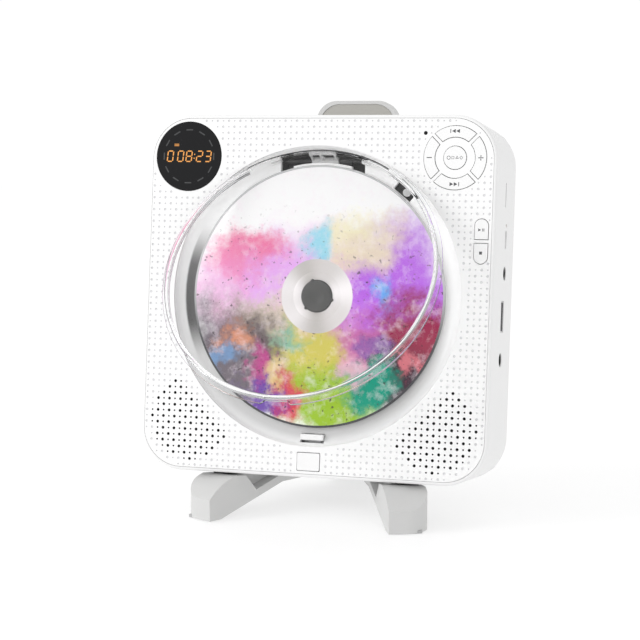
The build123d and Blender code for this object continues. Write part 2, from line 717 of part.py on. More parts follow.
def mech_chassis():
    middle = ((CHASSIS_LEFT + CHASSIS_RIGHT) / 2, (CHASSIS_LOW + CHASSIS_TOP) / 2)
    size = (CHASSIS_RIGHT - CHASSIS_LEFT, CHASSIS_TOP - CHASSIS_LOW)
    back = CHASSIS_Y + CHASSIS_T
    plate = slab(Pos(*middle) * RectangleRounded(*size, 5), CHASSIS_Y, back)
    inner = SLED_REST + 2
    outer = SLED_REST - SLED_W - SLED_TRAVEL - 2
    plate -= block(outer, inner, CHASSIS_Y - 1, back + 1, -WINDOW_HALF, WINDOW_HALF)
    plate -= rod(0, 0, 3.2, CHASSIS_Y - 1, back + 1)
    plate -= rod(GEAR_X, PINION_Z, PINION_R + 1.6, CHASSIS_Y - 1, back + 1)
    for x, z in damper_places():
        plate -= rod(x, z, DAMPER_R - 1.3, CHASSIS_Y - 1, back + 1)
    plate += rod(GEAR_X, GEAR_Z, AXLE_R, GEAR_Y - 0.3, CHASSIS_Y + 0.5)
    for x0, x1 in rod_clips():
        for side in (1, -1):
            clip = block(x0, x1, back - 0.2, ROD_Y + ROD_R + 1.2, side * ROD_Z - 3, side * ROD_Z + 3)
            plate += clip - cross_bar(ROD_Y, side * ROD_Z, ROD_R, x0 - 1, x1 + 1)
    return plate


def rod_clips():
    inner = SLED_REST + 1.5
    outer = SLED_REST - SLED_W - SLED_TRAVEL + 0.7
    return [(inner, inner + 3), (outer - 3, outer)]


def guide_rods():
    (inner, x_right), (x_left, outer) = rod_clips()
    return [cross_bar(ROD_Y, side * ROD_Z, ROD_R, x_left, x_right) for side in (1, -1)]


def laser_sled():
    """The carriage on its two rods, with the rack on its upper side."""
    x1, x0 = SLED_REST, SLED_REST - SLED_W
    half = SLED_H / 2
    sled = block(x0, x1, SLED_FRONT_Y, SLED_BACK_Y, -half, half)
    sled = fillet(sled.edges().filter_by(Axis.Y), 1.5)
    ear = ROD_Z + 3
    sled += block(x0 + 1, x1 - 1, ROD_Y - 2.6, SLED_BACK_Y, -ear, ear)
    for side in (1, -1):
        sled -= cross_bar(ROD_Y, side * ROD_Z, ROD_R + ROD_CLEAR, x0 - 1, x1 + 1)
    sled += rod(LENS_X, 0, LENS_R + LENS_RIM, SLED_FRONT_Y - 2.4, SLED_FRONT_Y + 0.5)
    sled -= rod(LENS_X, 0, LENS_R, SLED_FRONT_Y - 3, SLED_FRONT_Y - 0.6)
    return sled + rack(half)


def rack(low):
    """Straight toothed bar: its gaps meet the drive gear's tooth at rest."""
    pitch = pi * GEAR_MODULE
    first = -round((SLED_TRAVEL + 4) / pitch)
    add, ded = 0.85 * GEAR_MODULE, 1.15 * GEAR_MODULE
    points = []
    for k in range(first, 2):
        middle = GEAR_X - (k - 0.5) * pitch
        for offset, height in ((0.32, -ded), (0.13, add), (-0.13, add), (-0.32, -ded)):
            points.append((middle + offset * pitch, RACK_Z + height))
    right, left = points[0][0], points[-1][0]
    outline = make_face(Polyline(*points, (left, low - 0.5), (right, low - 0.5), close=True))
    return slab(outline, GEAR_Y, GEAR_Y + GEAR_T)


def toothed(teeth, bore, turn):
    """A spur gear with straight-sided teeth; turn is the angle of one tooth."""
    pitch_r = GEAR_MODULE * teeth / 2
    root, tip = pitch_r - 1.15 * GEAR_MODULE, pitch_r + 0.85 * GEAR_MODULE
    step = 360 / teeth
    points = []
    for k in range(teeth):
        middle = turn + k * step
        for share, radius in ((-0.30, root), (-0.11, tip), (0.11, tip), (0.30, root)):
            angle = radians(middle + share * step)
            points.append((radius * cos(angle), radius * sin(angle)))
    return make_face(Polyline(*points, close=True)) - Circle(bore)


def drive_gear():
    gear = slab(Pos(GEAR_X, GEAR_Z) * toothed(GEAR_TEETH, AXLE_R + PIN_CLEAR, -90), GEAR_Y, GEAR_Y + GEAR_T)
    for k in range(4):
        turn = radians(45 + 90 * k)
        gear -= rod(GEAR_X + 4.4 * cos(turn), GEAR_Z + 4.4 * sin(turn), 1.3, GEAR_Y - 1, GEAR_Y + GEAR_T + 1)
    return gear


def motor_pinion():
    half_step = 180 / PINION_TEETH
    outline = toothed(PINION_TEETH, 0.75, -90 + half_step)
    return slab(Pos(GEAR_X, PINION_Z) * outline, GEAR_Y, GEAR_Y + GEAR_T)


def sled_motor():
    front = CHASSIS_Y + CHASSIS_T
    motor = rod(GEAR_X, PINION_Z, SLED_MOTOR_R, front, front + SLED_MOTOR_D)
    motor = fillet(motor.edges().sort_by(Axis.Y)[-1:], 1.0)
    motor += rod(GEAR_X, PINION_Z, 2.0, front + SLED_MOTOR_D, front + SLED_MOTOR_D + 1)
    return motor + rod(GEAR_X, PINION_Z, 0.7, GEAR_Y - 0.3, front)


def spindle_motor():
    front = CHASSIS_Y + CHASSIS_T
    motor = rod(0, 0, SPINDLE_MOTOR_R, front, front + SPINDLE_MOTOR_D)
    motor = fillet(motor.edges().sort_by(Axis.Y)[-1:], 1.2)
    motor += rod(0, 0, SPINDLE_NOSE_R, CHASSIS_Y - 0.6, front)
    return motor - rod(0, 0, AXLE_R + PIN_CLEAR, CHASSIS_Y - 2, front + SPINDLE_DEEP)


def dampers():
    """Rubber grommets between the tray's posts and the chassis."""
    front, back = TRAY_FLOOR_Y + TRAY_T, CHASSIS_Y + CHASSIS_T
    waist = DAMPER_R - 1.35
    bore = POST_R + 0.05
    pieces = []
    for x, z in damper_places():
        damper = spun((bore, front + 0.1), (DAMPER_R, front + 0.1), (DAMPER_R, CHASSIS_Y - 0.05),
                      (waist, CHASSIS_Y - 0.05), (waist, back + 0.05), (DAMPER_R, back + 0.05),
                      (DAMPER_R, back + 1.9), (bore, back + 1.9))
        pieces.append(Pos(x, 0, z) * damper)
    return pieces


def chassis_screws():
    head_y = CHASSIS_Y + CHASSIS_T + 2
    return [rod(x, z, CHASSIS_HEAD_R, head_y, head_y + 1.4) + rod(x, z, 0.85, CHASSIS_Y + 0.3, head_y)
            for x, z in damper_places()]


# ---------------------------------------------------------------- lid and hinge
def opened(piece):
    """Swing a piece of the closed lid to the angle that it rests at."""
    hinge = Pos(0, HINGE_Y, HINGE_Z)
    return hinge * Rot(X=-LID_OPEN) * hinge.inverse() * piece


def dust_lid():
    """The clear dish: a flat face, a skirt and a low flange round its rim."""
    front, back = LID_FRONT_Y, LID_FRONT_Y + LID_DEPTH
    lid = rod(0, 0, LID_FRONT_R, front, back)
    lid = fillet(lid.edges().sort_by(Axis.Y)[:1], LID_EDGE)
    flange = rod(0, 0, LID_FLANGE_R, back - LID_FLANGE_T, back)
    top = (LID_FRONT_R ** 2 - LID_FREE_HALF ** 2) ** 0.5
    flange -= block(-LID_FREE_HALF, LID_FREE_HALF, front, back + 1, top - 4, LID_FLANGE_R + 1)
    half = LATCH_W / 2 + 0.8
    flange -= block(-half, half, front, back + 1, -LID_FLANGE_R - 1, LATCH_TOP + 0.4)
    lid += flange
    lid -= rod(0, 0, LID_FRONT_R - LID_T, front + LID_T, back + 1)
    half = ARM_W / 2 + FIT
    lid -= block(-half, half, front + ARM_FRONT - FIT, back + 1, LID_FRONT_R - 6, LID_FRONT_R + 1)
    for side in (1, -1):
        x0, x1 = sorted((side * (TAB_X - TAB_W / 2 - FIT), side * (TAB_X + TAB_W / 2 + FIT)))
        lid -= block(x0, x1, back - TAB_D - FIT, back + 1, LID_FRONT_R - 12, LID_FRONT_R + 1)
    return opened(lid)


def lid_hinge_arm():
    """The white arm from the lid to the pin, with two windows and a bow along the rim."""
    half = ARM_W / 2
    front = LID_FRONT_Y + ARM_FRONT
    plate = block(-half, half, front, HINGE_Y, ARM_LOW, ARM_LOW + ARM_T)
    for x0, x1 in ARM_WINDOWS:
        plate -= block(x0 - half, x1 - half, front + 0.9, HINGE_Y - BARREL_R - 0.2,
                       ARM_LOW - 1, ARM_LOW + ARM_T + 1)
    plate += cross_bar(HINGE_Y, HINGE_Z, BARREL_R, -half, half)
    low_r = LID_FRONT_R + 0.05
    bow = Circle(low_r + BOW_T) - Circle(low_r)
    bow &= Pos(0, low_r) * Rectangle(2 * BOW_HALF, low_r)
    plate += slab(bow, front - BOW_T, front + 0.3)
    return opened(plate - cross_bar(HINGE_Y, HINGE_Z, PIN_R + PIN_CLEAR, -half - 1, half + 1))


def lid_tabs():
    """The two white tabs in the notches of the lid's skirt."""
    back = LID_FRONT_Y + LID_DEPTH
    inner = LID_FRONT_R - LID_T - 0.6
    ring = Circle(inner + TAB_H) - Circle(inner)
    tabs = []
    for side in (1, -1):
        tab = ring & Pos(side * TAB_X, inner) * Rectangle(TAB_W, inner)
        tabs.append(opened(slab(tab, back - TAB_D, back)))
    return tabs


def hinge_pin():
    reach = POCKET_HALF + BRACKET_T
    return cross_bar(HINGE_Y, HINGE_Z, PIN_R, -reach, reach)


def lid_spring():
    """The torsion spring on the pin beside the arm."""
    left = ARM_W / 2 + 0.4
    coil = cross_bar(HINGE_Y, HINGE_Z, PIN_R + 1.0, left, left + 6)
    leg = block(left + 4.8, left + 5.6, HINGE_Y + 1.2, POCKET_BACK - 0.1, HINGE_Z + 0.8, HINGE_Z + 1.6)
    return coil + leg - cross_bar(HINGE_Y, HINGE_Z, PIN_R + 0.1, left - 1, left + 7)


def hinge_bracket():
    """The dark box behind the flare that holds the pin."""
    out = POCKET_HALF + BRACKET_T
    front = RING_BACK_Y + 1.1
    box = block(-out, out, front, POCKET_BACK + BRACKET_T, POCKET_LOW - 1, POCKET_TOP + BRACKET_T)
    box -= block(-POCKET_HALF, POCKET_HALF, 0, POCKET_BACK, POCKET_LOW - 2, POCKET_TOP)
    return box - cross_bar(HINGE_Y, HINGE_Z, PIN_R + 0.02, -out - 1, out + 1)


def lid_switch():
    """The small switch behind the flare that feels whether the lid is shut."""
    tip = LID_FRONT_Y + LID_DEPTH + 0.3
    button = at_switch(rod(0.2, -1.2, SWITCH_BUTTON_R, tip, RING_BACK_Y + 0.5))
    return switch_body(0) + button


# ---------------------------------------------------------------- speakers
def speaker_basket(side):
    x, z = side * SPEAKER_X, SPEAKER_Z
    front = SPEAKER_Y
    back = front + SPEAKER_D - MAGNET_T
    basket = spun((CONE_R + 0.6, front), (SPEAKER_R, front), (SPEAKER_R, front + 2),
                  (MAGNET_R + 1, back), (3.0, back), (3.0, back - 1.2), (MAGNET_R - 0.6, back - 1.2),
                  (CONE_R + 0.6, front + 2.4))
    basket = Pos(x, 0, z) * basket
    for k in range(4):
        turn = 90 * k + 45
        basket -= Pos(x, front + 6, z) * Rot(Y=turn) * Pos(MAGNET_R + 2.5, 0, 0) * Box(7, 4.2, 7)
    return basket


def speaker_magnet(side):
    back = SPEAKER_Y + SPEAKER_D
    magnet = rod(side * SPEAKER_X, SPEAKER_Z, MAGNET_R, back - MAGNET_T, back)
    return fillet(magnet.edges().sort_by(Axis.Y)[-1:], 0.8)


def speaker_cone(side):
    front = SPEAKER_Y
    cone = spun((0, front + 3.0), (4.5, front + 4.2), (CONE_R - 2.6, front + 0.7),
                (CONE_R - 1.3, front + 0.1), (CONE_R, front + 0.7),
                (CONE_R + 0.4, front + 0.7), (CONE_R + 0.4, front + 1.3),
                (CONE_R - 2.4, front + 1.5), (4.8, front + 5.2), (0, front + 4.2))
    return Pos(side * SPEAKER_X, 0, SPEAKER_Z) * cone


# ---------------------------------------------------------------- boards, sockets, rear
def main_board():
    right = SIDE_X - WALL - 0.4
    middle = ((MAIN_BOARD_LEFT + right) / 2, (MAIN_BOARD_LOW + MAIN_BOARD_TOP) / 2)
    size = (right - MAIN_BOARD_LEFT, MAIN_BOARD_TOP - MAIN_BOARD_LOW)
    back = MAIN_BOARD_Y + BOARD_T
    board = slab(Pos(*middle) * Rectangle(*size), MAIN_BOARD_Y, back)
    x, z = MAIN_BOARD_LEFT, MAIN_BOARD_LOW
    board += slab(Pos(x + 22, z + 48) * Rectangle(14, 14), back, back + 1.6)
    board += slab(Pos(x + 40, z + 70) * Rectangle(9, 7), back, back + 1.5)
    board += rod(x + 18, z + 18, 4.0, back, back + 9)
    return board + rod(x + 30, z + 16, 4.0, back, back + 9)


def audio_jack():
    face = SIDE_X - SIDE_SINK
    back = face - SOCKET_D
    half = JACK_R + 0.4
    jack = block(back, SIDE_X - WALL - 0.1, AUDIO_Y - JACK_R, MAIN_BOARD_Y, AUDIO_Z - half, AUDIO_Z + half)
    jack += cross_bar(AUDIO_Y, AUDIO_Z, JACK_R, back, face)
    return jack - cross_bar(AUDIO_Y, AUDIO_Z, AUDIO_R, back + 1.5, face + 1)


def power_inlet():
    face = SIDE_X - SIDE_SINK
    back = face - SOCKET_D
    half = JACK_R + 0.6
    jack = block(back, SIDE_X - WALL - 0.1, INLET_Y - JACK_R, MAIN_BOARD_Y, INLET_Z - half, INLET_Z + half)
    jack += cross_bar(INLET_Y, INLET_Z, JACK_R, back, face)
    jack -= cross_bar(INLET_Y, INLET_Z, INLET_R, back + 2, face + 1)
    return jack + cross_bar(INLET_Y, INLET_Z, INLET_PIN_R, back + 1.5, face - 1.2)


def usb_port():
    face = SIDE_X - SIDE_SINK
    back = face - SOCKET_D
    port = block(back, face, USB_Y - USB_W / 2, USB_Y + USB_W / 2, USB_Z - USB_L / 2, USB_Z + USB_L / 2)
    inner_w, inner_l = USB_W / 2 - USB_WALL, USB_L / 2 - USB_WALL
    port -= block(back + 1, face + 1, USB_Y - inner_w, USB_Y + inner_w, USB_Z - inner_l, USB_Z + inner_l)
    tongue = inner_l - 0.7
    port += block(back + 0.5, face - 2.5, USB_Y + 0.2, USB_Y + 2.0, USB_Z - tongue, USB_Z + tongue)
    pad_front = USB_Y + USB_W / 2
    return port + block(back + 1, face - 4, pad_front - 0.1, MAIN_BOARD_Y, USB_Z - 5, USB_Z + 5)


def card_socket():
    face = SIDE_X - WALL - 0.1
    half = CARD_L / 2 + 0.8
    socket = block(face - SOCKET_D, face, CARD_Y - 1.6, MAIN_BOARD_Y, CARD_Z - half, CARD_Z + half)
    slot = CARD_L / 2 - 0.2
    inner = face - SOCKET_D + 2
    return socket - block(inner, face + 1, CARD_Y - 0.6, CARD_Y + 0.6, CARD_Z - slot, CARD_Z + slot)


def slide_switch():
    face = SIDE_X - WALL - 0.1
    switch = block(face - 5, face - 0.9, SWITCH_Y - 2.4, MAIN_BOARD_Y, SLIDER_Z - 5.5, SLIDER_Z + 5.5)
    return switch


def power_slider():
    """The thumb slider in its slot, at its lower stop."""
    face = SIDE_X - 0.5
    inner = SIDE_X - WALL - 0.9
    z0 = SLIDER_Z - SLIDER_L / 2 + 0.3
    wide = SLIDER_W - 0.4
    outline = RectangleRounded(KNOB_L, wide, wide / 2 - 0.01)
    knob = Pos(inner, SWITCH_Y, z0 + KNOB_L / 2) * Rot(Y=90) * extrude(outline, amount=face - inner)
    for k in range(3):
        groove = z0 + KNOB_L / 2 + (k - 1) * 1.1
        cut = block(face - 0.3, face + 1, -SLIDER_W, SLIDER_W, groove - 0.25, groove + 0.25)
        knob -= Pos(0, SWITCH_Y, 0) * cut
    return knob


def charge_lamp():
    return cross_bar(SWITCH_Y, LAMP_Z, 0.75, SIDE_X - WALL - 2.5, SIDE_X - 0.4)


def infrared_window():
    return rod(EYE_X, EYE_Z, EYE_R, 0.1, FRONT_Y + 1.5)


def rear_cover():
    """The back with its hump, keyholes, vents and screw wells."""
    cover = slab(rounded(BODY_W, BODY_H, BODY_CORNER), SHELL_D, BODY_D)
    cover = fillet(cover.edges().group_by(Axis.Y)[-1], BODY_EDGE)
    hump_h = HUMP_TOP - HUMP_LOW
    hump_z = (HUMP_TOP + HUMP_LOW) / 2
    hump = slab(Pos(0, hump_z) * rounded(HUMP_W, hump_h, HUMP_CORNER), BODY_D - 1, HUMP_BACK_Y)
    hump = fillet(hump.edges().group_by(Axis.Y)[-1], 3.0)
    cover += hump
    inner_w, inner_h = HUMP_W - 2 * WALL, hump_h - 2 * WALL
    inside = Pos(0, hump_z) * rounded(inner_w, inner_h, HUMP_CORNER - WALL)
    cover -= slab(inside, SHELL_D - 1, HUMP_BACK_Y - WALL)
    cavity = rounded(BODY_W - 2 * WALL - 6, BODY_H - 2 * WALL - 6, BODY_CORNER - WALL - 3)
    cover -= slab(cavity, SHELL_D - 1, BODY_D - WALL + 0.8)
    for side in (1, -1):
        hole = Circle(KEYHOLE_R) + Pos(0, KEYHOLE_RISE / 2) * Rectangle(2 * KEYHOLE_SLOT_R, KEYHOLE_RISE)
        hole += Pos(0, KEYHOLE_RISE) * Circle(KEYHOLE_SLOT_R)
        cover -= slab(Pos(side * KEYHOLE_X, KEYHOLE_Z) * hole, HUMP_BACK_Y - WALL - 1, HUMP_BACK_Y + 1)
        for k in range(VENT_COUNT):
            x = side * (SPEAKER_X + VENT_SHIFT + (k - (VENT_COUNT - 1) / 2) * VENT_STEP)
            vent = Pos(x, SPEAKER_Z) * SlotOverall(VENT_L, VENT_W, rotation=90)
            cover -= slab(vent, SHELL_D, BODY_D + 1)
    for x in (-SCREW_X, SCREW_X):
        for z in (-SCREW_Z, SCREW_Z):
            cover += rod(x, z, BOSS_R + 1.2, SHELL_D, BODY_D - 0.5)
            cover -= rod(x, z, SCREW_HEAD_R + 0.2, BODY_D - 1.7, BODY_D + 1)
            cover -= rod(x, z, SCREW_R + 0.2, SHELL_D - 1, BODY_D)
    return cover


def housing_screws():
    head_y = BODY_D - 1.6
    return [rod(x, z, SCREW_HEAD_R, head_y, head_y + 1.3) + rod(x, z, SCREW_R - 0.05, SHELL_D - 9, head_y)
            for x in (-SCREW_X, SCREW_X) for z in (-SCREW_Z, SCREW_Z)]


def battery_pack():
    width, depth, height = BATTERY
    back = HUMP_BACK_Y - WALL - 0.2
    top = KEYHOLE_Z - BATTERY_UNDER
    pack = block(-width / 2, width / 2, back - depth, back, top - height, top)
    return fillet(pack.edges().filter_by(Axis.Z), 4.0)


# ---------------------------------------------------------------- stand
def seat_height(y):
    """Top of the leg under the leaning player, at a distance behind the panel's middle."""
    lean = radians(LEAN)
    edge_y = -BODY_H / 2 * sin(lean)
    edge_z = PANEL_RISE - BODY_H / 2 * cos(lean)
    return edge_z - (y - edge_y) * tan(lean) - (PAD_T + PAD_AIR) / cos(lean)


def under_player(low, high):
    """The space between two heights over the plane that the pads lie on."""
    place = Pos(0, 0, seat_height(0)) * Rot(X=-LEAN)
    return place * block(-FAR, FAR, -FAR, FAR, low, high)


def stand_leg(side):
    """One leg: a rounded toe in front, a seat for the player and an arched underside."""
    turn = radians(LEG_TURN)

    def seat(s):
        return seat_height(TOE_Y + s * cos(turn))

    behind_y = BODY_D * cos(radians(LEAN)) - BODY_H / 2 * sin(radians(LEAN)) + 1.6
    behind = (behind_y - TOE_Y) / cos(turn)
    end = (HUB_FRONT_Y - TOE_Y) / cos(turn) + LEG_W
    toe_top = (TOE_RISE_L, seat(TOE_RISE_L))
    rise = toe_top[1] - TOE_FRONT_H
    outline = Spline(*[(a * TOE_RISE_L, TOE_FRONT_H + b * rise) for a, b in TOE_CURVE])
    outline += Polyline(toe_top, (behind, seat(behind)), (behind + 5, HUB_TOP - 5), (end, HUB_TOP - 5),
                        (end, HUB_LOW), (ARCH_S + 16, HUB_LOW), (ARCH_S, ARCH_H),
                        (TOE_FLAT, FOOT_PROUD), (0, FOOT_PROUD), (0, TOE_FRONT_H))
    side_face = make_face(outline)
    leg = extrude(Plane.YZ * side_face, amount=LEG_W)
    plan = RectangleRounded(2 * end, 2 * end, TOE_CORNER)
    leg &= extrude(Pos(LEG_W - end, end) * plan, amount=HUB_TOP)
    slope = (ARCH_H - FOOT_PROUD) / (ARCH_S - TOE_FLAT)
    s0, s1, s2, s3 = NOTCH_S
    ledge = [(s, FOOT_PROUD + slope * (s - TOE_FLAT) + NOTCH_LEDGE) for s in (s1, s2)]
    notch = make_face(Polyline((s0, 2 * HUB_TOP), (s0, seat(s0)), *ledge, (s3, seat(s3)),
                               (s3, 2 * HUB_TOP), close=True))
    leg -= extrude(Plane.YZ * notch, amount=NOTCH_W)
    leg -= foot_pad_cut()
    leg = Pos(TOE_X, TOE_Y, 0) * Rot(Z=LEG_TURN) * leg
    leg &= block(-FAR, FAR, -FAR, HUB_FRONT_Y, -10, FAR)
    leg -= under_player(0, 40) & block(-FAR, FAR, -FAR, behind_y, -10, FAR)
    return leg if side > 0 else leg.mirror(Plane.YZ)


def foot_pad_cut():
    return block(3.0, LEG_W - 4.0, 1.0, TOE_FLAT - 0.6, -1, FOOT_T)


def foot_pads():
    """Rubber feet under the two toes and the heel."""
    toe = Pos(TOE_X, TOE_Y, 0) * Rot(Z=LEG_TURN) * block(
        3.0 + FIT, LEG_W - 4.0 - FIT, 1.0 + FIT, TOE_FLAT - 0.6 - FIT, 0, FOOT_T - 0.05)
    heel = block(-HEEL_HALF + 4 + FIT, HEEL_HALF - 4 - FIT, HEEL_BACK_Y - HEEL_L + 2 + FIT,
                 HEEL_BACK_Y - 3 - FIT, 0, FOOT_T - 0.05)
    return [toe, toe.mirror(Plane.YZ), heel]


def stand_hub():
    """The bridge between the legs, with the socket for the spine and the rear heel."""
    side_face = make_face(Polyline(
        (HUB_FRONT_Y, HUB_LOW), (HUB_BACK_Y - 6, HUB_LOW), (HEEL_BACK_Y - HEEL_L, FOOT_PROUD),
        (HEEL_BACK_Y, FOOT_PROUD), (HEEL_BACK_Y, FOOT_PROUD + 4), (HUB_BACK_Y + 8, HUB_TOP - 4),
        (HUB_BACK_Y, HUB_TOP), (HUB_FRONT_Y + 2, HUB_TOP), (HUB_FRONT_Y, HUB_TOP - 3), close=True))
    hub = extrude(Plane.YZ.offset(-HUB_HALF) * side_face, amount=2 * HUB_HALF)
    plan = make_face(Polyline(
        (-HUB_HALF, HUB_FRONT_Y), (HUB_HALF, HUB_FRONT_Y), (HUB_HALF, HUB_BACK_Y - 8),
        (HEEL_HALF, HUB_BACK_Y + 8), (HEEL_HALF, HEEL_BACK_Y), (-HEEL_HALF, HEEL_BACK_Y),
        (-HEEL_HALF, HUB_BACK_Y + 8), (-HUB_HALF, HUB_BACK_Y - 8), close=True))
    plan = fillet(plan.vertices().group_by(Axis.Y)[-1], 6)
    hub &= extrude(plan, amount=HUB_TOP)
    hub -= block(-HEEL_HALF + 4, HEEL_HALF - 4, HEEL_BACK_Y - HEEL_L + 2, HEEL_BACK_Y - 3, -1, FOOT_T)
    socket = slab(Pos(0, SPINE_LOW + 20) * Rectangle(SPINE_LOW_W + 2 * FIT, 40 + 2 * FIT),
                  SPINE_Y - FIT, SPINE_Y + SPINE_T + FIT)
    hub -= lean_only(socket)
    for x in (-STAND_SCREW_X, STAND_SCREW_X):
        hub -= rod(x, STAND_SCREW_Z, 1.6, HUB_FRONT_Y - 1, HUB_BACK_Y - 6)
        hub -= rod(x, STAND_SCREW_Z, 3.1, HUB_FRONT_Y - 1, HUB_FRONT_Y + 2.5)
    return hub


def lean_only(piece):
    """A leaned piece in the stand's own frame."""
    return Pos(0, 0, PANEL_RISE) * Rot(X=-LEAN) * piece


def stand_spine():
    """The tall plate that the player leans on, with a raised rim round its face."""
    outline = spine_outline(0)
    spine = slab(outline, SPINE_Y, SPINE_Y + SPINE_T)
    spine = fillet(spine.edges().group_by(Axis.Y)[-1], 2.0)
    face_h = SPINE_TOP - SPINE_FACE_LOW
    sunk = spine_outline(SPINE_RIM) & Pos(0, SPINE_TOP - face_h / 2) * Rectangle(2 * SPINE_LOW_W, face_h)
    spine -= slab(sunk, SPINE_Y - 1, SPINE_Y + SPINE_SINK)
    spine = lean_only(spine)
    for x in (-STAND_SCREW_X, STAND_SCREW_X):
        spine -= rod(x, STAND_SCREW_Z, 1.6, HUB_FRONT_Y, HUB_BACK_Y - 6)
    return spine


def spine_outline(inset):
    low, top = SPINE_LOW_W / 2 - inset, SPINE_TOP_W / 2 - inset
    outline = make_face(Polyline((-low, SPINE_LOW), (low, SPINE_LOW), (top, SPINE_TOP - inset),
                                 (-top, SPINE_TOP - inset), close=True))
    return fillet(outline.vertices().group_by(Axis.Y)[-1], SPINE_CORNER)


def rubber_pads():
    """Two pads under the player and two behind it."""
    lean = radians(LEAN)
    turn = radians(LEG_TURN)
    pads = []
    s0 = TOE_RISE_L + 1.5
    seat = Pos(TOE_X, TOE_Y, 0) * Rot(Z=LEG_TURN)
    post = seat * block(NOTCH_W + 2, LEG_W - 2, s0, s0 + 13, 0, 60)
    right = post & under_player(0, PAD_T)
    pads += [right, right.mirror(Plane.YZ)]
    for z in (REST_LOW - TOP_Z, TOP_Z - REST_TOP):
        face = slab(Pos(0, z) * RectangleRounded(REST_W, REST_H, REST_CORNER), SPINE_Y - PAD_T, SPINE_Y + SPINE_SINK)
        pads.append(lean_only(face))
    return pads


def stand_screws():
    end = HUB_BACK_Y - STAND_SCREW_SHORT
    return [rod(x, STAND_SCREW_Z, STAND_SCREW_R, HUB_FRONT_Y + 2.3, end) +
            rod(x, STAND_SCREW_Z, STAND_HEAD_R, HUB_FRONT_Y + 0.5, HUB_FRONT_Y + 2.4)
            for x in (-STAND_SCREW_X, STAND_SCREW_X)]


# ---------------------------------------------------------------- write every node
os.makedirs("parts", exist_ok=True)

write("front_fascia", front_fascia())
write("front_shell", front_shell())
write("rear_cover", rear_cover())
write("housing_screws", *housing_screws())
write("display_window", display_window())
write("display_board", display_board())
write("infrared_window", infrared_window())
for key_name in KEYS:
    write(key_name, key(key_name))
write("key_board", key_board())
write("open_button", open_button())
write("lid_latch", lid_latch())
write("disc", disc())
write("disc_hub", disc_hub())
write("turntable", turntable())
write("deck_tray", deck_tray())
write("mech_chassis", mech_chassis())
write("dampers", *dampers())
write("chassis_screws", *chassis_screws())
write("guide_rods", *guide_rods())
write("laser_sled", laser_sled())
write("objective_lens", rod(LENS_X, 0, LENS_R - 0.02, SLED_FRONT_Y - 2.9, SLED_FRONT_Y - 0.62))
write("drive_gear", drive_gear())
write("motor_pinion", motor_pinion())
write("sled_motor", sled_motor())
write("spindle_motor", spindle_motor())
write("dust_lid", dust_lid())
write("lid_hinge_arm", lid_hinge_arm(), *lid_tabs())
write("hinge_pin", hinge_pin())
write("lid_spring", lid_spring())
write("hinge_bracket", hinge_bracket())
write("lid_switch", lid_switch())
for side_name, side_sign in (("left", -1), ("right", 1)):
    write(f"speaker_basket_{side_name}", speaker_basket(side_sign))
    write(f"speaker_magnet_{side_name}", speaker_magnet(side_sign))
    write(f"speaker_cone_{side_name}", speaker_cone(side_sign))
    write_stand(f"stand_leg_{side_name}", stand_leg(side_sign))
write("main_board", main_board())
write("audio_jack", audio_jack())
write("power_inlet", power_inlet())
write("usb_port", usb_port())
write("card_socket", card_socket())
write("slide_switch", slide_switch())
write("power_slider", power_slider())
write("charge_lamp", charge_lamp())
write("battery_pack", battery_pack())
write_stand("stand_hub", stand_hub())
write_stand("stand_spine", stand_spine())
write_stand("stand_screws", *stand_screws())
write_stand("foot_pads", *foot_pads())
write_stand("rubber_pads", *rubber_pads())
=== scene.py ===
import math
import bpy
import bmesh
import numpy as np
from mathutils import Matrix, Vector, geometry


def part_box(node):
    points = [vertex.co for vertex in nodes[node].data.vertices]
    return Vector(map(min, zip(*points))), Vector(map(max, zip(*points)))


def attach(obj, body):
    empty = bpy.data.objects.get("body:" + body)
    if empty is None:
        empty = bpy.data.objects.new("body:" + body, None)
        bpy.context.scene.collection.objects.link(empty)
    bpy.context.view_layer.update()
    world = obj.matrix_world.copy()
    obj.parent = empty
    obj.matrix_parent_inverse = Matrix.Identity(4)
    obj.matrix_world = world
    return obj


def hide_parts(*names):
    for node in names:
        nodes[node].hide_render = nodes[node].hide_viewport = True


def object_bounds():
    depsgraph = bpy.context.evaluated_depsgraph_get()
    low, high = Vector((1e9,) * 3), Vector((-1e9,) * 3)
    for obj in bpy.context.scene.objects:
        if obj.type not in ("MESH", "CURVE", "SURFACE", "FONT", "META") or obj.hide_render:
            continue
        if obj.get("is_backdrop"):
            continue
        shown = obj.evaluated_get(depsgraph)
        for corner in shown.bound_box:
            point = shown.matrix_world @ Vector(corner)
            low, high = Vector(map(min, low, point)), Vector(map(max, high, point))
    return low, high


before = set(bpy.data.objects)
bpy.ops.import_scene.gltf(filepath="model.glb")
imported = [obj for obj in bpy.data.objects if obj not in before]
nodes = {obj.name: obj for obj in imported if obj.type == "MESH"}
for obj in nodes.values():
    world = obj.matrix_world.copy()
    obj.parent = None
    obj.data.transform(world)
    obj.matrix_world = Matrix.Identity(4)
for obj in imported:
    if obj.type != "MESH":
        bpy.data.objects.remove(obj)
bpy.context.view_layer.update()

MM = 0.001

# ------------------------------------------------------------ frame of the player
# The player leans back on its stand.  Its own frame has X to the right, Y from
# the front face to the back and Z up, with its origin in the middle of the front.
LEAN = math.radians(6.8)
DISC_MID_Y = 5.0
DISC_R = 60.0
low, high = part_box("disc")
disc_middle = (Vector(low) + Vector(high)) / 2
LEANED = Matrix.Rotation(-LEAN, 3, "X")
ORIGIN = disc_middle - LEANED @ Vector((0, DISC_MID_Y * MM, 0))


def place(x, y, z):
    """A point of the player's frame, in millimetres, as a point of the model."""
    return ORIGIN + LEANED @ Vector((x * MM, y * MM, z * MM))


def unplace(point):
    """The way back, as millimetres of the player's frame."""
    return (LEANED.transposed() @ (Vector(point) - ORIGIN)) / MM


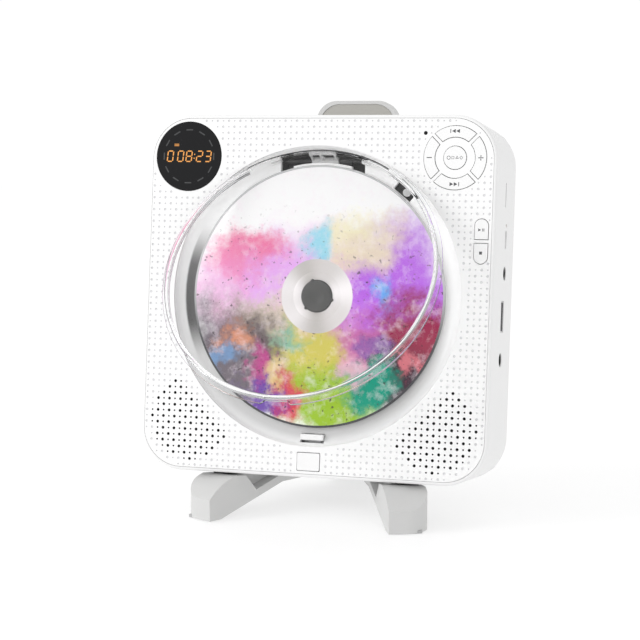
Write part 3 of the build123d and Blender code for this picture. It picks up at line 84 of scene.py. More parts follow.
# ------------------------------------------------------------ material makers
# Each material is a Principled shader whose colour, roughness and bump vary with
# a few layers of noise in object coordinates, at the scale of the real surface.
def new_material(name):
    material = bpy.data.materials.new(name)
    material.use_nodes = True
    tree = material.node_tree
    tree.nodes.clear()
    output = tree.nodes.new("ShaderNodeOutputMaterial")
    shader = tree.nodes.new("ShaderNodeBsdfPrincipled")
    tree.links.new(shader.outputs[0], output.inputs[0])
    return material, tree, shader


def grain_group():
    """A node group: a value for fine moulded grain and one for slow cloudiness."""
    group = bpy.data.node_groups.new("moulded_grain", "ShaderNodeTree")
    group.interface.new_socket("Fine", in_out="INPUT", socket_type="NodeSocketFloat")
    group.interface.new_socket("Slow", in_out="INPUT", socket_type="NodeSocketFloat")
    group.interface.new_socket("Grain", in_out="OUTPUT", socket_type="NodeSocketFloat")
    group.interface.new_socket("Cloud", in_out="OUTPUT", socket_type="NodeSocketFloat")
    start = group.nodes.new("NodeGroupInput")
    end = group.nodes.new("NodeGroupOutput")
    where = group.nodes.new("ShaderNodeTexCoord")
    for socket, source, detail in ((0, "Fine", 3.0), (1, "Slow", 2.0)):
        noise = group.nodes.new("ShaderNodeTexNoise")
        noise.inputs["Detail"].default_value = detail
        noise.inputs["Roughness"].default_value = 0.55
        group.links.new(where.outputs["Object"], noise.inputs["Vector"])
        group.links.new(start.outputs[source], noise.inputs["Scale"])
        group.links.new(noise.outputs[0], end.inputs[socket])
    return group


GRAIN = grain_group()


def moulded(name, colour, rough=0.42, spread=0.08, tint=0.03, bump=0.08, fine=3800.0, slow=28.0,
            metal=0.0, coat=0.0, specular=0.5):
    """Plastic, metal or rubber with a fine grain and a slow change of tone."""
    material, tree, shader = new_material(name)
    grain = tree.nodes.new("ShaderNodeGroup")
    grain.node_tree = GRAIN
    grain.inputs["Fine"].default_value = fine
    grain.inputs["Slow"].default_value = slow
    ramp = tree.nodes.new("ShaderNodeMapRange")
    ramp.inputs["From Min"].default_value = 0.3
    ramp.inputs["From Max"].default_value = 0.7
    ramp.inputs["To Min"].default_value = rough - spread / 2
    ramp.inputs["To Max"].default_value = rough + spread / 2
    tree.links.new(grain.outputs["Grain"], ramp.inputs["Value"])
    tree.links.new(ramp.outputs[0], shader.inputs["Roughness"])
    tones = tree.nodes.new("ShaderNodeMix")
    tones.data_type = "RGBA"
    tones.inputs[6].default_value = [c * (1 - tint) for c in colour] + [1]
    tones.inputs[7].default_value = [min(1.0, c * (1 + tint)) for c in colour] + [1]
    tree.links.new(grain.outputs["Cloud"], tones.inputs[0])
    tree.links.new(tones.outputs[2], shader.inputs["Base Color"])
    relief = tree.nodes.new("ShaderNodeBump")
    relief.inputs["Strength"].default_value = bump
    relief.inputs["Distance"].default_value = 0.00006
    tree.links.new(grain.outputs["Grain"], relief.inputs["Height"])
    tree.links.new(relief.outputs[0], shader.inputs["Normal"])
    shader.inputs["Metallic"].default_value = metal
    shader.inputs["Coat Weight"].default_value = coat
    shader.inputs["Coat Roughness"].default_value = 0.06
    shader.inputs["Specular IOR Level"].default_value = specular
    return material


def open_colour(material):
    """The tree, shader and plain colour of a moulded material, to lay more tones over it."""
    tree = material.node_tree
    shader = next(n for n in tree.nodes if n.type == "BSDF_PRINCIPLED")
    return tree, shader, shader.inputs["Base Color"].links[0].from_socket


def paint(obj, material):
    obj.data.materials.clear()
    obj.data.materials.append(material)


# ------------------------------------------------------------ mesh makers
# Pieces are drawn in the player's frame in millimetres and written straight to
# their place, so every new object stays at the origin.
def build(name, points, faces, materials, body, groups=None, smooth=False, leaned=True):
    mesh = bpy.data.meshes.new(name)
    spots = [place(*p) for p in points] if leaned else [Vector(p) * MM for p in points]
    mesh.from_pydata(spots, [], faces)
    for material in materials:
        mesh.materials.append(material)
    if groups is not None:
        mesh.polygons.foreach_set("material_index", groups)
    if smooth:
        mesh.shade_smooth()
    mesh.update()
    obj = bpy.data.objects.new(name, mesh)
    bpy.context.scene.collection.objects.link(obj)
    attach(obj, body)
    return obj


def mend(obj, merge=0.00001):
    """Weld doubles and point every face outwards."""
    work = bmesh.new()
    work.from_mesh(obj.data)
    bmesh.ops.remove_doubles(work, verts=work.verts, dist=merge)
    bmesh.ops.recalc_face_normals(work, faces=work.faces)
    work.to_mesh(obj.data)
    work.free()
    return obj


def smooth_by_angle(obj, degrees=35.0):
    """Smooth shading with sharp edges kept above an angle."""
    mesh = obj.data
    mesh.shade_smooth()
    mesh.set_sharp_from_angle(angle=math.radians(degrees))


def lathe(name, profile, materials, body, segments=144, groups=None, turn=None, radius_at=None,
          sector=None):
    """Turn (radius, depth) points about the well's axis; groups name a material per span."""
    points, faces, kinds = [], [], []
    count = len(profile)
    for s in range(segments):
        angle = 2 * math.pi * s / segments
        for k, (r, y) in enumerate(profile):
            r = radius_at(k, angle, r) if radius_at else r
            p = Vector((r * math.cos(angle), y, r * math.sin(angle)))
            points.append(turn @ p if turn else p)
    for s in range(segments):
        a, b = s * count, ((s + 1) % segments) * count
        for k in range(count - 1):
            faces.append((a + k, a + k + 1, b + k + 1, b + k))
            kind = groups[k] if groups else 0
            kinds.append(sector(k, 2 * math.pi * (s + 0.5) / segments, kind) if sector else kind)
    obj = build(name, points, faces, materials, body, kinds, smooth=True)
    mend(obj)
    smooth_by_angle(obj, 32)
    return obj


def sheet(outline, y, thick):
    """A thin plate of an outline in X and Z, standing proud towards the front."""
    n = len(outline)
    points = [(x, y - thick, z) for x, z in outline] + [(x, y, z) for x, z in outline]
    faces = [tuple(range(n)), tuple(range(2 * n - 1, n - 1, -1))]
    faces += [(k, (k + 1) % n, n + (k + 1) % n, n + k) for k in range(n)]
    return points, faces


def marks(name, outlines, y, thick, material, body):
    """Several thin plates as one piece, such as the parts of a symbol."""
    points, faces = [], []
    for outline in outlines:
        p, f = sheet(outline, y, thick)
        faces += [tuple(i + len(points) for i in face) for face in f]
        points += p
    obj = build(name, points, faces, [material], body)
    return mend(obj)


def ring_outline(x, z, r, sides=24, start=0.0):
    turns = [start + 2 * math.pi * k / sides for k in range(sides)]
    return [(x + r * math.cos(turn), z + r * math.sin(turn)) for turn in turns]


def bar(x, z, width, height, turn=0.0):
    c, s = math.cos(turn), math.sin(turn)
    corners = ((-width, -height), (width, -height), (width, height), (-width, height))
    return [(x + (a * c - b * s) / 2, z + (a * s + b * c) / 2) for a, b in corners]


# ------------------------------------------------------------ materials
white = moulded("white_case", (0.84, 0.84, 0.84), rough=0.40, tint=0.008)
fascia_white = moulded("white_fascia", (0.88, 0.88, 0.88), rough=0.46, tint=0.006)
key_white = moulded("white_keys", (0.86, 0.86, 0.86), rough=0.38, tint=0.006)
# The hinge arm is painted whiter than the keys of the same plastic: painted light against the shade of its
# pocket.
arm_painted_light = moulded("white_arm_painted_light", (0.96, 0.96, 0.96), rough=0.35, tint=0.006)
# Grey dimple floors: painted shade in the dimples.
dimple_painted_shade = moulded("dimple_floor_painted_shade", (0.66, 0.66, 0.67), rough=0.6, tint=0.02)
# Near-black grille holes: partly the dark speaker behind, partly painted shade.
hole_painted_shade = moulded("hole_painted_shade", (0.012, 0.012, 0.012), rough=0.8, tint=0.02)
stand_grey = moulded("stand_grey", (0.60, 0.60, 0.595), rough=0.5, tint=0.015, bump=0.12)
foot_grey = moulded("foot_pad", (0.42, 0.42, 0.42), rough=0.7, tint=0.03, bump=0.2)
face_grey = moulded("stand_face", (0.42, 0.41, 0.38), rough=0.5, tint=0.02, bump=0.12)
deck_dark = moulded("deck_dark", (0.045, 0.045, 0.045), rough=0.55, tint=0.05, bump=0.15)
pocket_dark = moulded("pocket_dark", (0.05, 0.05, 0.05), rough=0.45, tint=0.05, bump=0.15)
hub_grey = moulded("hub_grey", (0.070, 0.070, 0.068), rough=0.5, tint=0.05)
steel = moulded("plated_steel", (0.62, 0.62, 0.63), rough=0.3, spread=0.2, tint=0.04, metal=1.0)
dark_steel = moulded("dark_steel", (0.10, 0.10, 0.10), rough=0.5, spread=0.1, tint=0.04, metal=0.5)
rubber = moulded("pad_rubber", (0.035, 0.035, 0.036), rough=0.75, tint=0.1, bump=0.3)
board_green = moulded("board_green", (0.02, 0.13, 0.05), rough=0.35, tint=0.12, coat=0.5)
pack_blue = moulded("pack_sleeve", (0.03, 0.07, 0.22), rough=0.3, tint=0.06, coat=0.6)
socket_black = moulded("socket_black", (0.018, 0.018, 0.019), rough=0.45, tint=0.08)
gear_white = moulded("gear_white", (0.80, 0.78, 0.70), rough=0.45, tint=0.03)
cone_black = moulded("cone_black", (0.03, 0.03, 0.03), rough=0.7, tint=0.15, bump=0.5, fine=1800)
ink = moulded("symbol_ink", (0.085, 0.085, 0.09), rough=0.55, tint=0.03)
lamp = moulded("lamp_lens", (0.55, 0.36, 0.16), rough=0.25, tint=0.04, coat=0.4)
window_black = moulded("window_black", (0.006, 0.006, 0.007), rough=0.16, spread=0.05, tint=0.1, bump=0.0,
                       specular=0.22)
faint_grey = moulded("window_dash", (0.035, 0.036, 0.038), rough=0.4, tint=0.05)

amber, tree, shader = new_material("amber_digit")
shader.inputs["Base Color"].default_value = (0.02, 0.01, 0.0, 1)
shader.inputs["Emission Color"].default_value = (1.0, 0.42, 0.09, 1)
shader.inputs["Emission Strength"].default_value = 0.95
shader.inputs["Roughness"].default_value = 0.4

clear, tree, shader = new_material("clear_lid")
shader.inputs["Base Color"].default_value = (1.0, 1.0, 1.0, 1)
shader.inputs["Transmission Weight"].default_value = 1.0
shader.inputs["IOR"].default_value = 1.12
shader.inputs["Coat Weight"].default_value = 0.25
haze = tree.nodes.new("ShaderNodeTexNoise")
haze.inputs["Scale"].default_value = 60.0
spread = tree.nodes.new("ShaderNodeMapRange")
spread.inputs["To Min"].default_value = 0.0
spread.inputs["To Max"].default_value = 0.035
tree.links.new(haze.outputs[0], spread.inputs["Value"])
tree.links.new(spread.outputs[0], shader.inputs["Roughness"])

clear_rim, tree, shader = new_material("clear_rim")
shader.inputs["Base Color"].default_value = (0.99, 0.995, 1.0, 1)
shader.inputs["Transmission Weight"].default_value = 1.0
shader.inputs["IOR"].default_value = 1.46
shader.inputs["Roughness"].default_value = 0.01

# Near-black band on the lid's rim: painted shade.
rim_painted_shade = moulded("rim_painted_shade", (0.075, 0.075, 0.078), rough=0.2, tint=0.02, bump=0.0)

# Grey-tinted clear plastic on the flange's outer face: a painted dark edge line.
clear_edge_painted_shade, tree, shader = new_material("clear_edge_painted_shade")
shader.inputs["Base Color"].default_value = (0.20, 0.205, 0.21, 1)
shader.inputs["Transmission Weight"].default_value = 1.0
shader.inputs["IOR"].default_value = 1.3
shader.inputs["Roughness"].default_value = 0.04

lens, tree, shader = new_material("coated_lens")
shader.inputs["Base Color"].default_value = (0.55, 0.62, 0.95, 1)
shader.inputs["Transmission Weight"].default_value = 0.6
shader.inputs["Roughness"].default_value = 0.03
shader.inputs["Coat Weight"].default_value = 1.0

# ------------------------------------------------------------ disc print
# Soft clouds of powder colour, white above and strong below, mixed from layers of
# noise that are placed by their height and side on the disc.
print_mix, tree, shader = new_material("disc_print")
shader.inputs["Roughness"].default_value = 0.25
shader.inputs["Specular IOR Level"].default_value = 0.25
shader.inputs["Coat Weight"].default_value = 0.15
shader.inputs["Coat Roughness"].default_value = 0.05


def node(kind, **values):
    made = tree.nodes.new(kind)
    for key, value in values.items():
        if key in made.inputs:
            made.inputs[key].default_value = value
        else:
            setattr(made, key, value)
    return made


def link(a, b):
    tree.links.new(a, b)


where = node("ShaderNodeTexCoord")
shift = node("ShaderNodeMapping")
shift.inputs["Location"].default_value = [-c for c in disc_middle]
link(where.outputs["Object"], shift.inputs["Vector"])
unlean = node("ShaderNodeVectorRotate", rotation_type="X_AXIS")
unlean.inputs["Angle"].default_value = LEAN
link(shift.outputs[0], unlean.inputs["Vector"])
scale = node("ShaderNodeVectorMath", operation="SCALE")
scale.inputs["Scale"].default_value = 1 / (DISC_R * MM)
link(unlean.outputs[0], scale.inputs[0])
swirl = node("ShaderNodeTexNoise", Scale=2.4, Detail=9.0, Roughness=0.70)
link(scale.outputs[0], swirl.inputs["Vector"])
bend = node("ShaderNodeVectorMath", operation="MULTIPLY_ADD")
link(swirl.outputs["Color"], bend.inputs[0])
bend.inputs[1].default_value = (0.80, 0.0, 0.80)
link(scale.outputs[0], bend.inputs[2])
split = node("ShaderNodeSeparateXYZ")
link(bend.outputs[0], split.inputs[0])
BEND_MEAN = 0.40


def math_node(op, a, b=None, c=None, clamp=False):
    made = node("ShaderNodeMath", operation=op)
    made.use_clamp = clamp
    for k, value in enumerate((a, b, c)):
        if value is None:
            continue
        if isinstance(value, (int, float)):
            made.inputs[k].default_value = value
        else:
            link(value, made.inputs[k])
    return made.outputs[0]


def blob(x, z, rx, rz, soft=0.5):
    """1 inside an ellipse on the bent disc plane, fading to 0 outside it."""
    dx = math_node("DIVIDE", math_node("SUBTRACT", split.outputs["X"], x + BEND_MEAN), rx)
    dz = math_node("DIVIDE", math_node("SUBTRACT", split.outputs["Z"], z + BEND_MEAN), rz)
    far = math_node("SQRT", math_node("ADD", math_node("MULTIPLY", dx, dx), math_node("MULTIPLY", dz, dz)))
    edge = node("ShaderNodeMapRange", interpolation_type="SMOOTHSTEP")
    edge.inputs["From Min"].default_value = 1.0 + soft
    edge.inputs["From Max"].default_value = 1.0 - soft
    link(far, edge.inputs["Value"])
    return edge.outputs[0]


def over(base, colour, mask, amount=1.0):
    made = node("ShaderNodeMix", data_type="RGBA")
    made.inputs[7].default_value = (*colour, 1)
    link(math_node("MULTIPLY", mask, amount), made.inputs[0])
    if isinstance(base, tuple):
        made.inputs[6].default_value = (*base, 1)
    else:
        link(base, made.inputs[6])
    return made.outputs[2]


CLOUDS = [
    # x, z, half width, half height, softness, colour, amount
    (0.10, 0.05, 0.85, 0.42, 0.60, (0.74, 0.32, 0.82), 0.85),
    (0.62, 0.12, 0.42, 0.42, 0.45, (0.44, 0.08, 0.76), 0.9),
    (0.30, 0.42, 0.30, 0.20, 0.60, (0.90, 0.88, 0.38), 0.65),
    (-0.55, 0.30, 0.30, 0.22, 0.45, (0.86, 0.13, 0.32), 0.9),
    (-0.72, 0.05, 0.26, 0.30, 0.55, (0.84, 0.34, 0.66), 0.55),
    (-0.30, 0.08, 0.28, 0.22, 0.55, (0.80, 0.42, 0.90), 0.85),
    (0.02, 0.38, 0.10, 0.16, 0.70, (0.20, 0.70, 0.88), 0.8),
    (0.56, 0.05, 0.09, 0.12, 0.70, (0.08, 0.40, 0.85), 0.9),
    (-0.35, -0.20, 0.40, 0.20, 0.50, (0.85, 0.80, 0.48), 0.75),
    (-0.60, -0.45, 0.50, 0.38, 0.40, (0.05, 0.025, 0.05), 0.9),
    (0.30, -0.45, 0.42, 0.30, 0.45, (0.50, 0.06, 0.28), 0.85),
    (0.80, -0.35, 0.34, 0.36, 0.35, (0.30, 0.01, 0.05), 0.97),
    (0.62, -0.62, 0.30, 0.24, 0.35, (0.03, 0.015, 0.03), 0.95),
    (-0.02, -0.45, 0.24, 0.32, 0.50, (0.62, 0.58, 0.06), 0.9),
    (0.10, -0.82, 0.40, 0.26, 0.45, (0.30, 0.50, 0.01), 0.98),
    (0.44, -0.68, 0.22, 0.20, 0.40, (0.00, 0.30, 0.20), 0.98),
    (-0.18, -0.80, 0.12, 0.18, 0.50, (0.65, 0.02, 0.08), 0.93),
    (-0.40, -0.78, 0.20, 0.14, 0.45, (0.12, 0.03, 0.35), 0.92),
    (-0.16, -0.30, 0.12, 0.09, 0.70, (0.10, 0.45, 0.42), 0.7),
    (-0.66, -0.30, 0.13, 0.12, 0.55, (0.76, 0.30, 0.16), 0.75),
    (-0.45, -0.52, 0.11, 0.15, 0.50, (0.55, 0.04, 0.26), 0.8),
    (-0.78, -0.50, 0.12, 0.10, 0.55, (0.16, 0.34, 0.62), 0.7),
    (-0.30, -0.60, 0.09, 0.09, 0.60, (0.85, 0.62, 0.30), 0.7),
    (0.74, -0.50, 0.08, 0.09, 0.55, (0.80, 0.22, 0.26), 0.75),
    (0.28, -0.55, 0.09, 0.12, 0.60, (0.86, 0.45, 0.62), 0.7),
    (0.48, -0.36, 0.11, 0.09, 0.60, (0.20, 0.10, 0.42), 0.7),
]
tone = (1.0, 0.995, 1.0)
for x, z, rx, rz, soft, colour, amount in CLOUDS:
    tone = over(tone, colour, blob(x, z, rx, rz, soft), amount)
powder = node("ShaderNodeTexNoise", Scale=6.5, Detail=9.0, Roughness=0.78)
link(scale.outputs[0], powder.inputs["Vector"])
veil = node("ShaderNodeMapRange")
veil.inputs["From Min"].default_value = 0.50
veil.inputs["From Max"].default_value = 0.72
link(powder.outputs[0], veil.inputs["Value"])
tone = over(tone, (0.97, 0.86, 0.93), veil.outputs[0], 0.55)
specks = node("ShaderNodeTexNoise", Scale=30.0, Detail=2.0, Roughness=0.6)
link(scale.outputs[0], specks.inputs["Vector"])
dots = node("ShaderNodeMapRange")
dots.inputs["From Min"].default_value = 0.66
dots.inputs["From Max"].default_value = 0.70
link(specks.outputs[0], dots.inputs["Value"])
lower = node("ShaderNodeMapRange")
lower.inputs["From Min"].default_value = 0.75
lower.inputs["From Max"].default_value = 0.15
plain = node("ShaderNodeSeparateXYZ")
link(scale.outputs[0], plain.inputs[0])
link(plain.outputs["Z"], lower.inputs["Value"])
tone = over(tone, (0.05, 0.03, 0.04), math_node("MULTIPLY", dots.outputs[0], lower.outputs[0]), 0.8)
link(tone, shader.inputs["Base Color"])

# ------------------------------------------------------------ hub ring of the disc
# The clear middle of the disc shows silver, with painted bright and dark fans that turn
# about its axis, a painted reflection like that of polished plastic.
silver, tree, shader = new_material("disc_silver_painted_reflection")
where = node("ShaderNodeTexCoord")
shift = node("ShaderNodeMapping")
shift.inputs["Location"].default_value = [-c for c in disc_middle]
link(where.outputs["Object"], shift.inputs["Vector"])
fan = node("ShaderNodeSeparateXYZ")
link(shift.outputs[0], fan.inputs[0])
angle = math_node("ARCTAN2", fan.outputs["Z"], fan.outputs["X"])
wave = math_node("SINE", math_node("MULTIPLY_ADD", angle, 2.0, 1.2))
wave2 = math_node("SINE", math_node("MULTIPLY_ADD", angle, 5.0, 0.4))
both = math_node("MULTIPLY_ADD", wave2, 0.35, wave)
painted_reflection_fans = node("ShaderNodeMapRange")
painted_reflection_fans.inputs["From Min"].default_value = -1.35
painted_reflection_fans.inputs["From Max"].default_value = 1.35
link(both, painted_reflection_fans.inputs["Value"])
# Painted reflection: the bright and dark fans are laid into the ring's colour.
mix = node("ShaderNodeMix", data_type="RGBA")
mix.inputs[6].default_value = (0.50, 0.47, 0.45, 1)
mix.inputs[7].default_value = (0.96, 0.92, 0.93, 1)
link(painted_reflection_fans.outputs[0], mix.inputs[0])
link(mix.outputs[2], shader.inputs["Base Color"])
shader.inputs["Roughness"].default_value = 0.2
shader.inputs["Metallic"].default_value = 0.15
shader.inputs["Coat Weight"].default_value = 0.8

# ------------------------------------------------------------ well of the front shell
# The flare round the disc is painted whiter than the case, with a faint glow in its
# upper part, as painted light against its own shade; it is painted darker towards the
# disc at the bottom, and a soft painted shadow lies at the left of the disc.
well_painted_light_and_shade = moulded("white_well_painted_light_and_shade", (0.84, 0.84, 0.84), rough=0.40, tint=0.008)
tree, shader, plain = open_colour(well_painted_light_and_shade)
shift = node("ShaderNodeMapping")
shift.inputs["Location"].default_value = [-c for c in disc_middle]
link(node("ShaderNodeTexCoord").outputs["Object"], shift.inputs["Vector"])
unlean = node("ShaderNodeVectorRotate", rotation_type="X_AXIS")
unlean.inputs["Angle"].default_value = LEAN
link(shift.outputs[0], unlean.inputs["Vector"])
spot = node("ShaderNodeSeparateXYZ")
link(unlean.outputs[0], spot.inputs[0])


def ramp(value, start, end, smooth="SMOOTHSTEP"):
    """0 at the start and 1 at the end, given in millimetres."""
    made = node("ShaderNodeMapRange", interpolation_type=smooth)
    made.inputs["From Min"].default_value = start * MM
    made.inputs["From Max"].default_value = end * MM
    link(value, made.inputs["Value"])
    return made.outputs[0]


across = math_node("MULTIPLY", spot.outputs["X"], spot.outputs["X"])
upward = math_node("MULTIPLY", spot.outputs["Z"], spot.outputs["Z"])
away = math_node("SQRT", math_node("ADD", across, upward))
in_well = ramp(away, 69.5, 68.0)
painted_shadow_side = math_node("MULTIPLY", ramp(away, 65.4, 64.4), ramp(spot.outputs["X"], -20.0, -40.0))
painted_shadow_ends = ramp(math_node("ABSOLUTE", spot.outputs["Z"]), 34.0, 12.0)
lower = math_node("MULTIPLY", ramp(away, 68.0, 63.0), ramp(spot.outputs["Z"], -10.0, -45.0))
# Painted light: the flare is whiter than the case to offset its own shade.
tone = over(plain, (0.94, 0.94, 0.94), in_well)
# Painted shade: darker towards the disc at the bottom.
tone = over(tone, (0.60, 0.60, 0.60), lower)
# Painted shadow: a soft dark crescent at the left of the disc.
tone = over(tone, (0.065, 0.065, 0.066), math_node("MULTIPLY", painted_shadow_side, painted_shadow_ends), 0.96)
link(tone, shader.inputs["Base Color"])
# Painted light: the upper flare glows faintly, though it is no lamp.
shader.inputs["Emission Color"].default_value = (1.0, 1.0, 1.0, 1)
painted_glow = math_node("MULTIPLY", in_well, ramp(spot.outputs["Z"], -10.0, 45.0))
link(math_node("MULTIPLY", painted_glow, 0.14), shader.inputs["Emission Strength"])

# ------------------------------------------------------------ lid switch
# A light round button sits in the dark slot of the switch.
switch_two = moulded("switch_black", (0.018, 0.018, 0.019), rough=0.45, tint=0.08)
tree, shader, plain = open_colour(switch_two)
SWITCH = place(40.16, 6.3, 48.03)
shift = node("ShaderNodeMapping")
shift.inputs["Location"].default_value = [-c for c in SWITCH]
link(node("ShaderNodeTexCoord").outputs["Object"], shift.inputs["Vector"])
far = node("ShaderNodeVectorMath", operation="LENGTH")
link(shift.outputs[0], far.inputs[0])
tone = over(plain, (0.62, 0.62, 0.62), ramp(far.outputs["Value"], 2.3, 2.1))
link(tone, shader.inputs["Base Color"])

# ------------------------------------------------------------ finishes of the CAD pieces
# Every carried-over node gets the material of its real counterpart.
FINISH = {
    white: ["rear_cover"],
    well_painted_light_and_shade: ["front_shell"],
    switch_two: ["lid_switch"],
    arm_painted_light: ["lid_hinge_arm"],
    key_white: ["open_button", "lid_latch", "next_key", "previous_key", "louder_key",
                "quieter_key", "mode_key", "play_key", "stop_key", "power_slider"],
    stand_grey: ["stand_leg_left", "stand_leg_right", "stand_hub", "stand_spine"],
    foot_grey: ["foot_pads"],
    rubber: ["rubber_pads", "dampers"],
    deck_dark: ["deck_tray", "laser_sled"],
    pocket_dark: ["hinge_bracket"],
    hub_grey: ["turntable"],
    socket_black: ["audio_jack", "power_inlet"],
    dark_steel: ["hinge_pin", "lid_spring"],
    steel: ["housing_screws", "stand_screws", "chassis_screws", "guide_rods", "sled_motor",
            "spindle_motor", "speaker_basket_left", "speaker_basket_right", "usb_port",
            "speaker_magnet_left", "speaker_magnet_right", "card_socket", "slide_switch", "mech_chassis"],
    board_green: ["display_board", "key_board", "main_board"],
    cone_black: ["speaker_cone_left", "speaker_cone_right"],
    gear_white: ["drive_gear", "motor_pinion"],
    window_black: ["display_window", "infrared_window"],
    pack_blue: ["battery_pack"],
    lamp: ["charge_lamp"],
    lens: ["objective_lens"],
}
for material, names in FINISH.items():
    for name in names:
        paint(nodes[name], material)

# ------------------------------------------------------------ fascia with its dimples
# The front plate keeps the outline and openings of its CAD node.  Its face is
# drawn again with over a thousand round dimples and the two round grilles.
PITCH = 2.75
FASCIA_T = 1.6
cad_mesh = nodes["front_fascia"].data
index_of, welded, remap = {}, [], []
for vertex in cad_mesh.vertices:
    p = unplace(vertex.co)
    key = (round(p.x, 3), round(p.y, 3), round(p.z, 3))
    if key not in index_of:
        index_of[key] = len(welded)
        welded.append(key)
    remap.append(index_of[key])
front_edges, kept_faces = {}, []
for polygon in cad_mesh.polygons:
    ring = [remap[v] for v in polygon.vertices]
    if all(abs(welded[v][1]) < 0.02 for v in ring):
        for a, b in zip(ring, ring[1:] + ring[:1]):
            key = (min(a, b), max(a, b))
            front_edges[key] = front_edges.get(key, 0) + 1
    elif all(abs(welded[v][1] - FASCIA_T) > 0.02 for v in ring) or len(set(ring)) > 2:
        kept_faces.append(ring)
follow = {}
for (a, b), times in front_edges.items():
    if times == 1:
        follow.setdefault(a, []).append(b)
        follow.setdefault(b, []).append(a)
loops, seen = [], set()
for start in follow:
    if start in seen:
        continue
    loop, here, before = [], start, None
    while here not in seen:
        seen.add(here)
        loop.append(here)
        step = [n for n in follow[here] if n != before and n not in seen]
        if not step:
            break
        before, here = here, step[0]
    loops.append(loop)


def spans(loop):
    xs = [welded[v][0] for v in loop]
    zs = [welded[v][2] for v in loop]
    return min(xs), max(xs), min(zs), max(zs)


EYE_X, EYE_Z = 18 * PITCH, 27 * PITCH
big_loops, grille_points = [], set()
for loop in loops:
    x0, x1, z0, z1 = spans(loop)
    is_eye = abs((x0 + x1) / 2 - EYE_X) < 1 and abs((z0 + z1) / 2 - EYE_Z) < 1
    if max(x1 - x0, z1 - z0) < 2.2 and not is_eye:
        grille_points.update((round(welded[v][0], 2), round(welded[v][2], 2)) for v in loop)
    else:
        big_loops.append([(welded[v][0], welded[v][2]) for v in loop])


def on_lattice():
    """Every dot of the front: (x, z, radius, through the grille or not)."""
    dots = []
    limits = {29: 23, 28: 25, 27: 27, 26: 27, 25: 28, 24: 28}
    for j in range(-29, 30):
        for i in range(-29, 30):
            u, v = abs(i), abs(j)
            if u > limits.get(v, 29) or (u > 21 and v > 21 and (u - 21) ** 2 + (v - 21) ** 2 > 8.51 ** 2):
                continue
            if i * i + j * j < 25.45 ** 2 or (i + 23) ** 2 + (j + 23) ** 2 < 6.6 ** 2:
                continue
            if (i - 23) ** 2 + (j + 23) ** 2 < 5.5 ** 2 or (abs(i) <= 2 and j >= 25):
                continue
            nearest = min(max(j, -12.06), -7.1)
            if (i - 27.76) ** 2 + (j - nearest) ** 2 < 1.5 ** 2 or (i, j) == (18, -27):
                continue
            grille = j > 0 and (u - 21.2) ** 2 + (j - 21.2) ** 2 <= 49 and u + j >= 38
            wide = (i + j) % 2 != 0
            radius = (0.70 if grille else 0.64) if wide else (0.42 if grille else 0.40)
            dots.append((i * PITCH, -j * PITCH, radius, grille))
    return dots


dots = on_lattice()
flat, edges = [], []


def add_ring(ring):
    first = len(flat)
    flat.extend(Vector(p) for p in ring)
    edges.extend((first + k, first + (k + 1) % len(ring)) for k in range(len(ring)))


for ring in big_loops:
    add_ring(ring)
rings = []
for x, z, radius, grille in dots:
    ring = ring_outline(x, z, radius, 12 if radius > 0.5 else 9)
    rings.append(ring)
    add_ring(ring)
out_points, _, triangles, _, _, _ = geometry.delaunay_2d_cdt(flat, edges, [], 0, 0.0005)
plane = np.array([(p.x, p.y) for p in out_points])
triangles = np.array([tuple(t) for t in triangles])
centres = plane[triangles].mean(axis=1)
inside = np.zeros(len(centres), dtype=int)
for ring in big_loops:
    for (ax, az), (bx, bz) in zip(ring, ring[1:] + ring[:1]):
        crosses = (az > centres[:, 1]) != (bz > centres[:, 1])
        at = ax + (centres[:, 1] - az) * (bx - ax) / (bz - az if bz != az else 1e-9)
        inside += crosses & (centres[:, 0] < at)
keep = inside % 2 == 1
for x, z, radius, grille in dots:
    keep &= (centres[:, 0] - x) ** 2 + (centres[:, 1] - z) ** 2 > (radius * 0.93) ** 2
points = [(x, 0.0, z) for x, z in plane]
faces = [tuple(int(v) for v in t) for t in triangles[keep]]
kinds = [0] * len(faces)
for ring, (x, z, radius, grille) in zip(rings, dots):
    n = len(ring)
    first = len(points)
    inner, deep, middle = (0.98, 1.45, 1.45) if grille else (0.62, 0.16, 0.24)
    points += [(a, 0.0, b) for a, b in ring]
    points += [(x + (a - x) * inner, deep, z + (b - z) * inner) for a, b in ring] + [(x, middle, z)]
    for k in range(n):
        m = (k + 1) % n
        faces.append((first + k, first + m, first + n + m, first + n + k))
        kinds.append(2 if grille else 1)
        faces.append((first + n + k, first + n + m, first + 2 * n))
        kinds.append(2 if grille else 1)
first = len(points)
points += [(p[0], p[1], p[2]) for p in welded]
for ring in kept_faces:
    spots = [(round(welded[v][0], 2), round(welded[v][2], 2)) for v in ring]
    if all(s in grille_points for s in spots):
        continue
    faces.append(tuple(first + v for v in ring))
    kinds.append(0)
# The dimple floors and grille holes carry painted shade.
fascia_finishes = [fascia_white, dimple_painted_shade, hole_painted_shade]
fascia = build("fascia", points, faces, fascia_finishes, "player", kinds)
mend(fascia, 0.000002)
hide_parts("front_fascia")

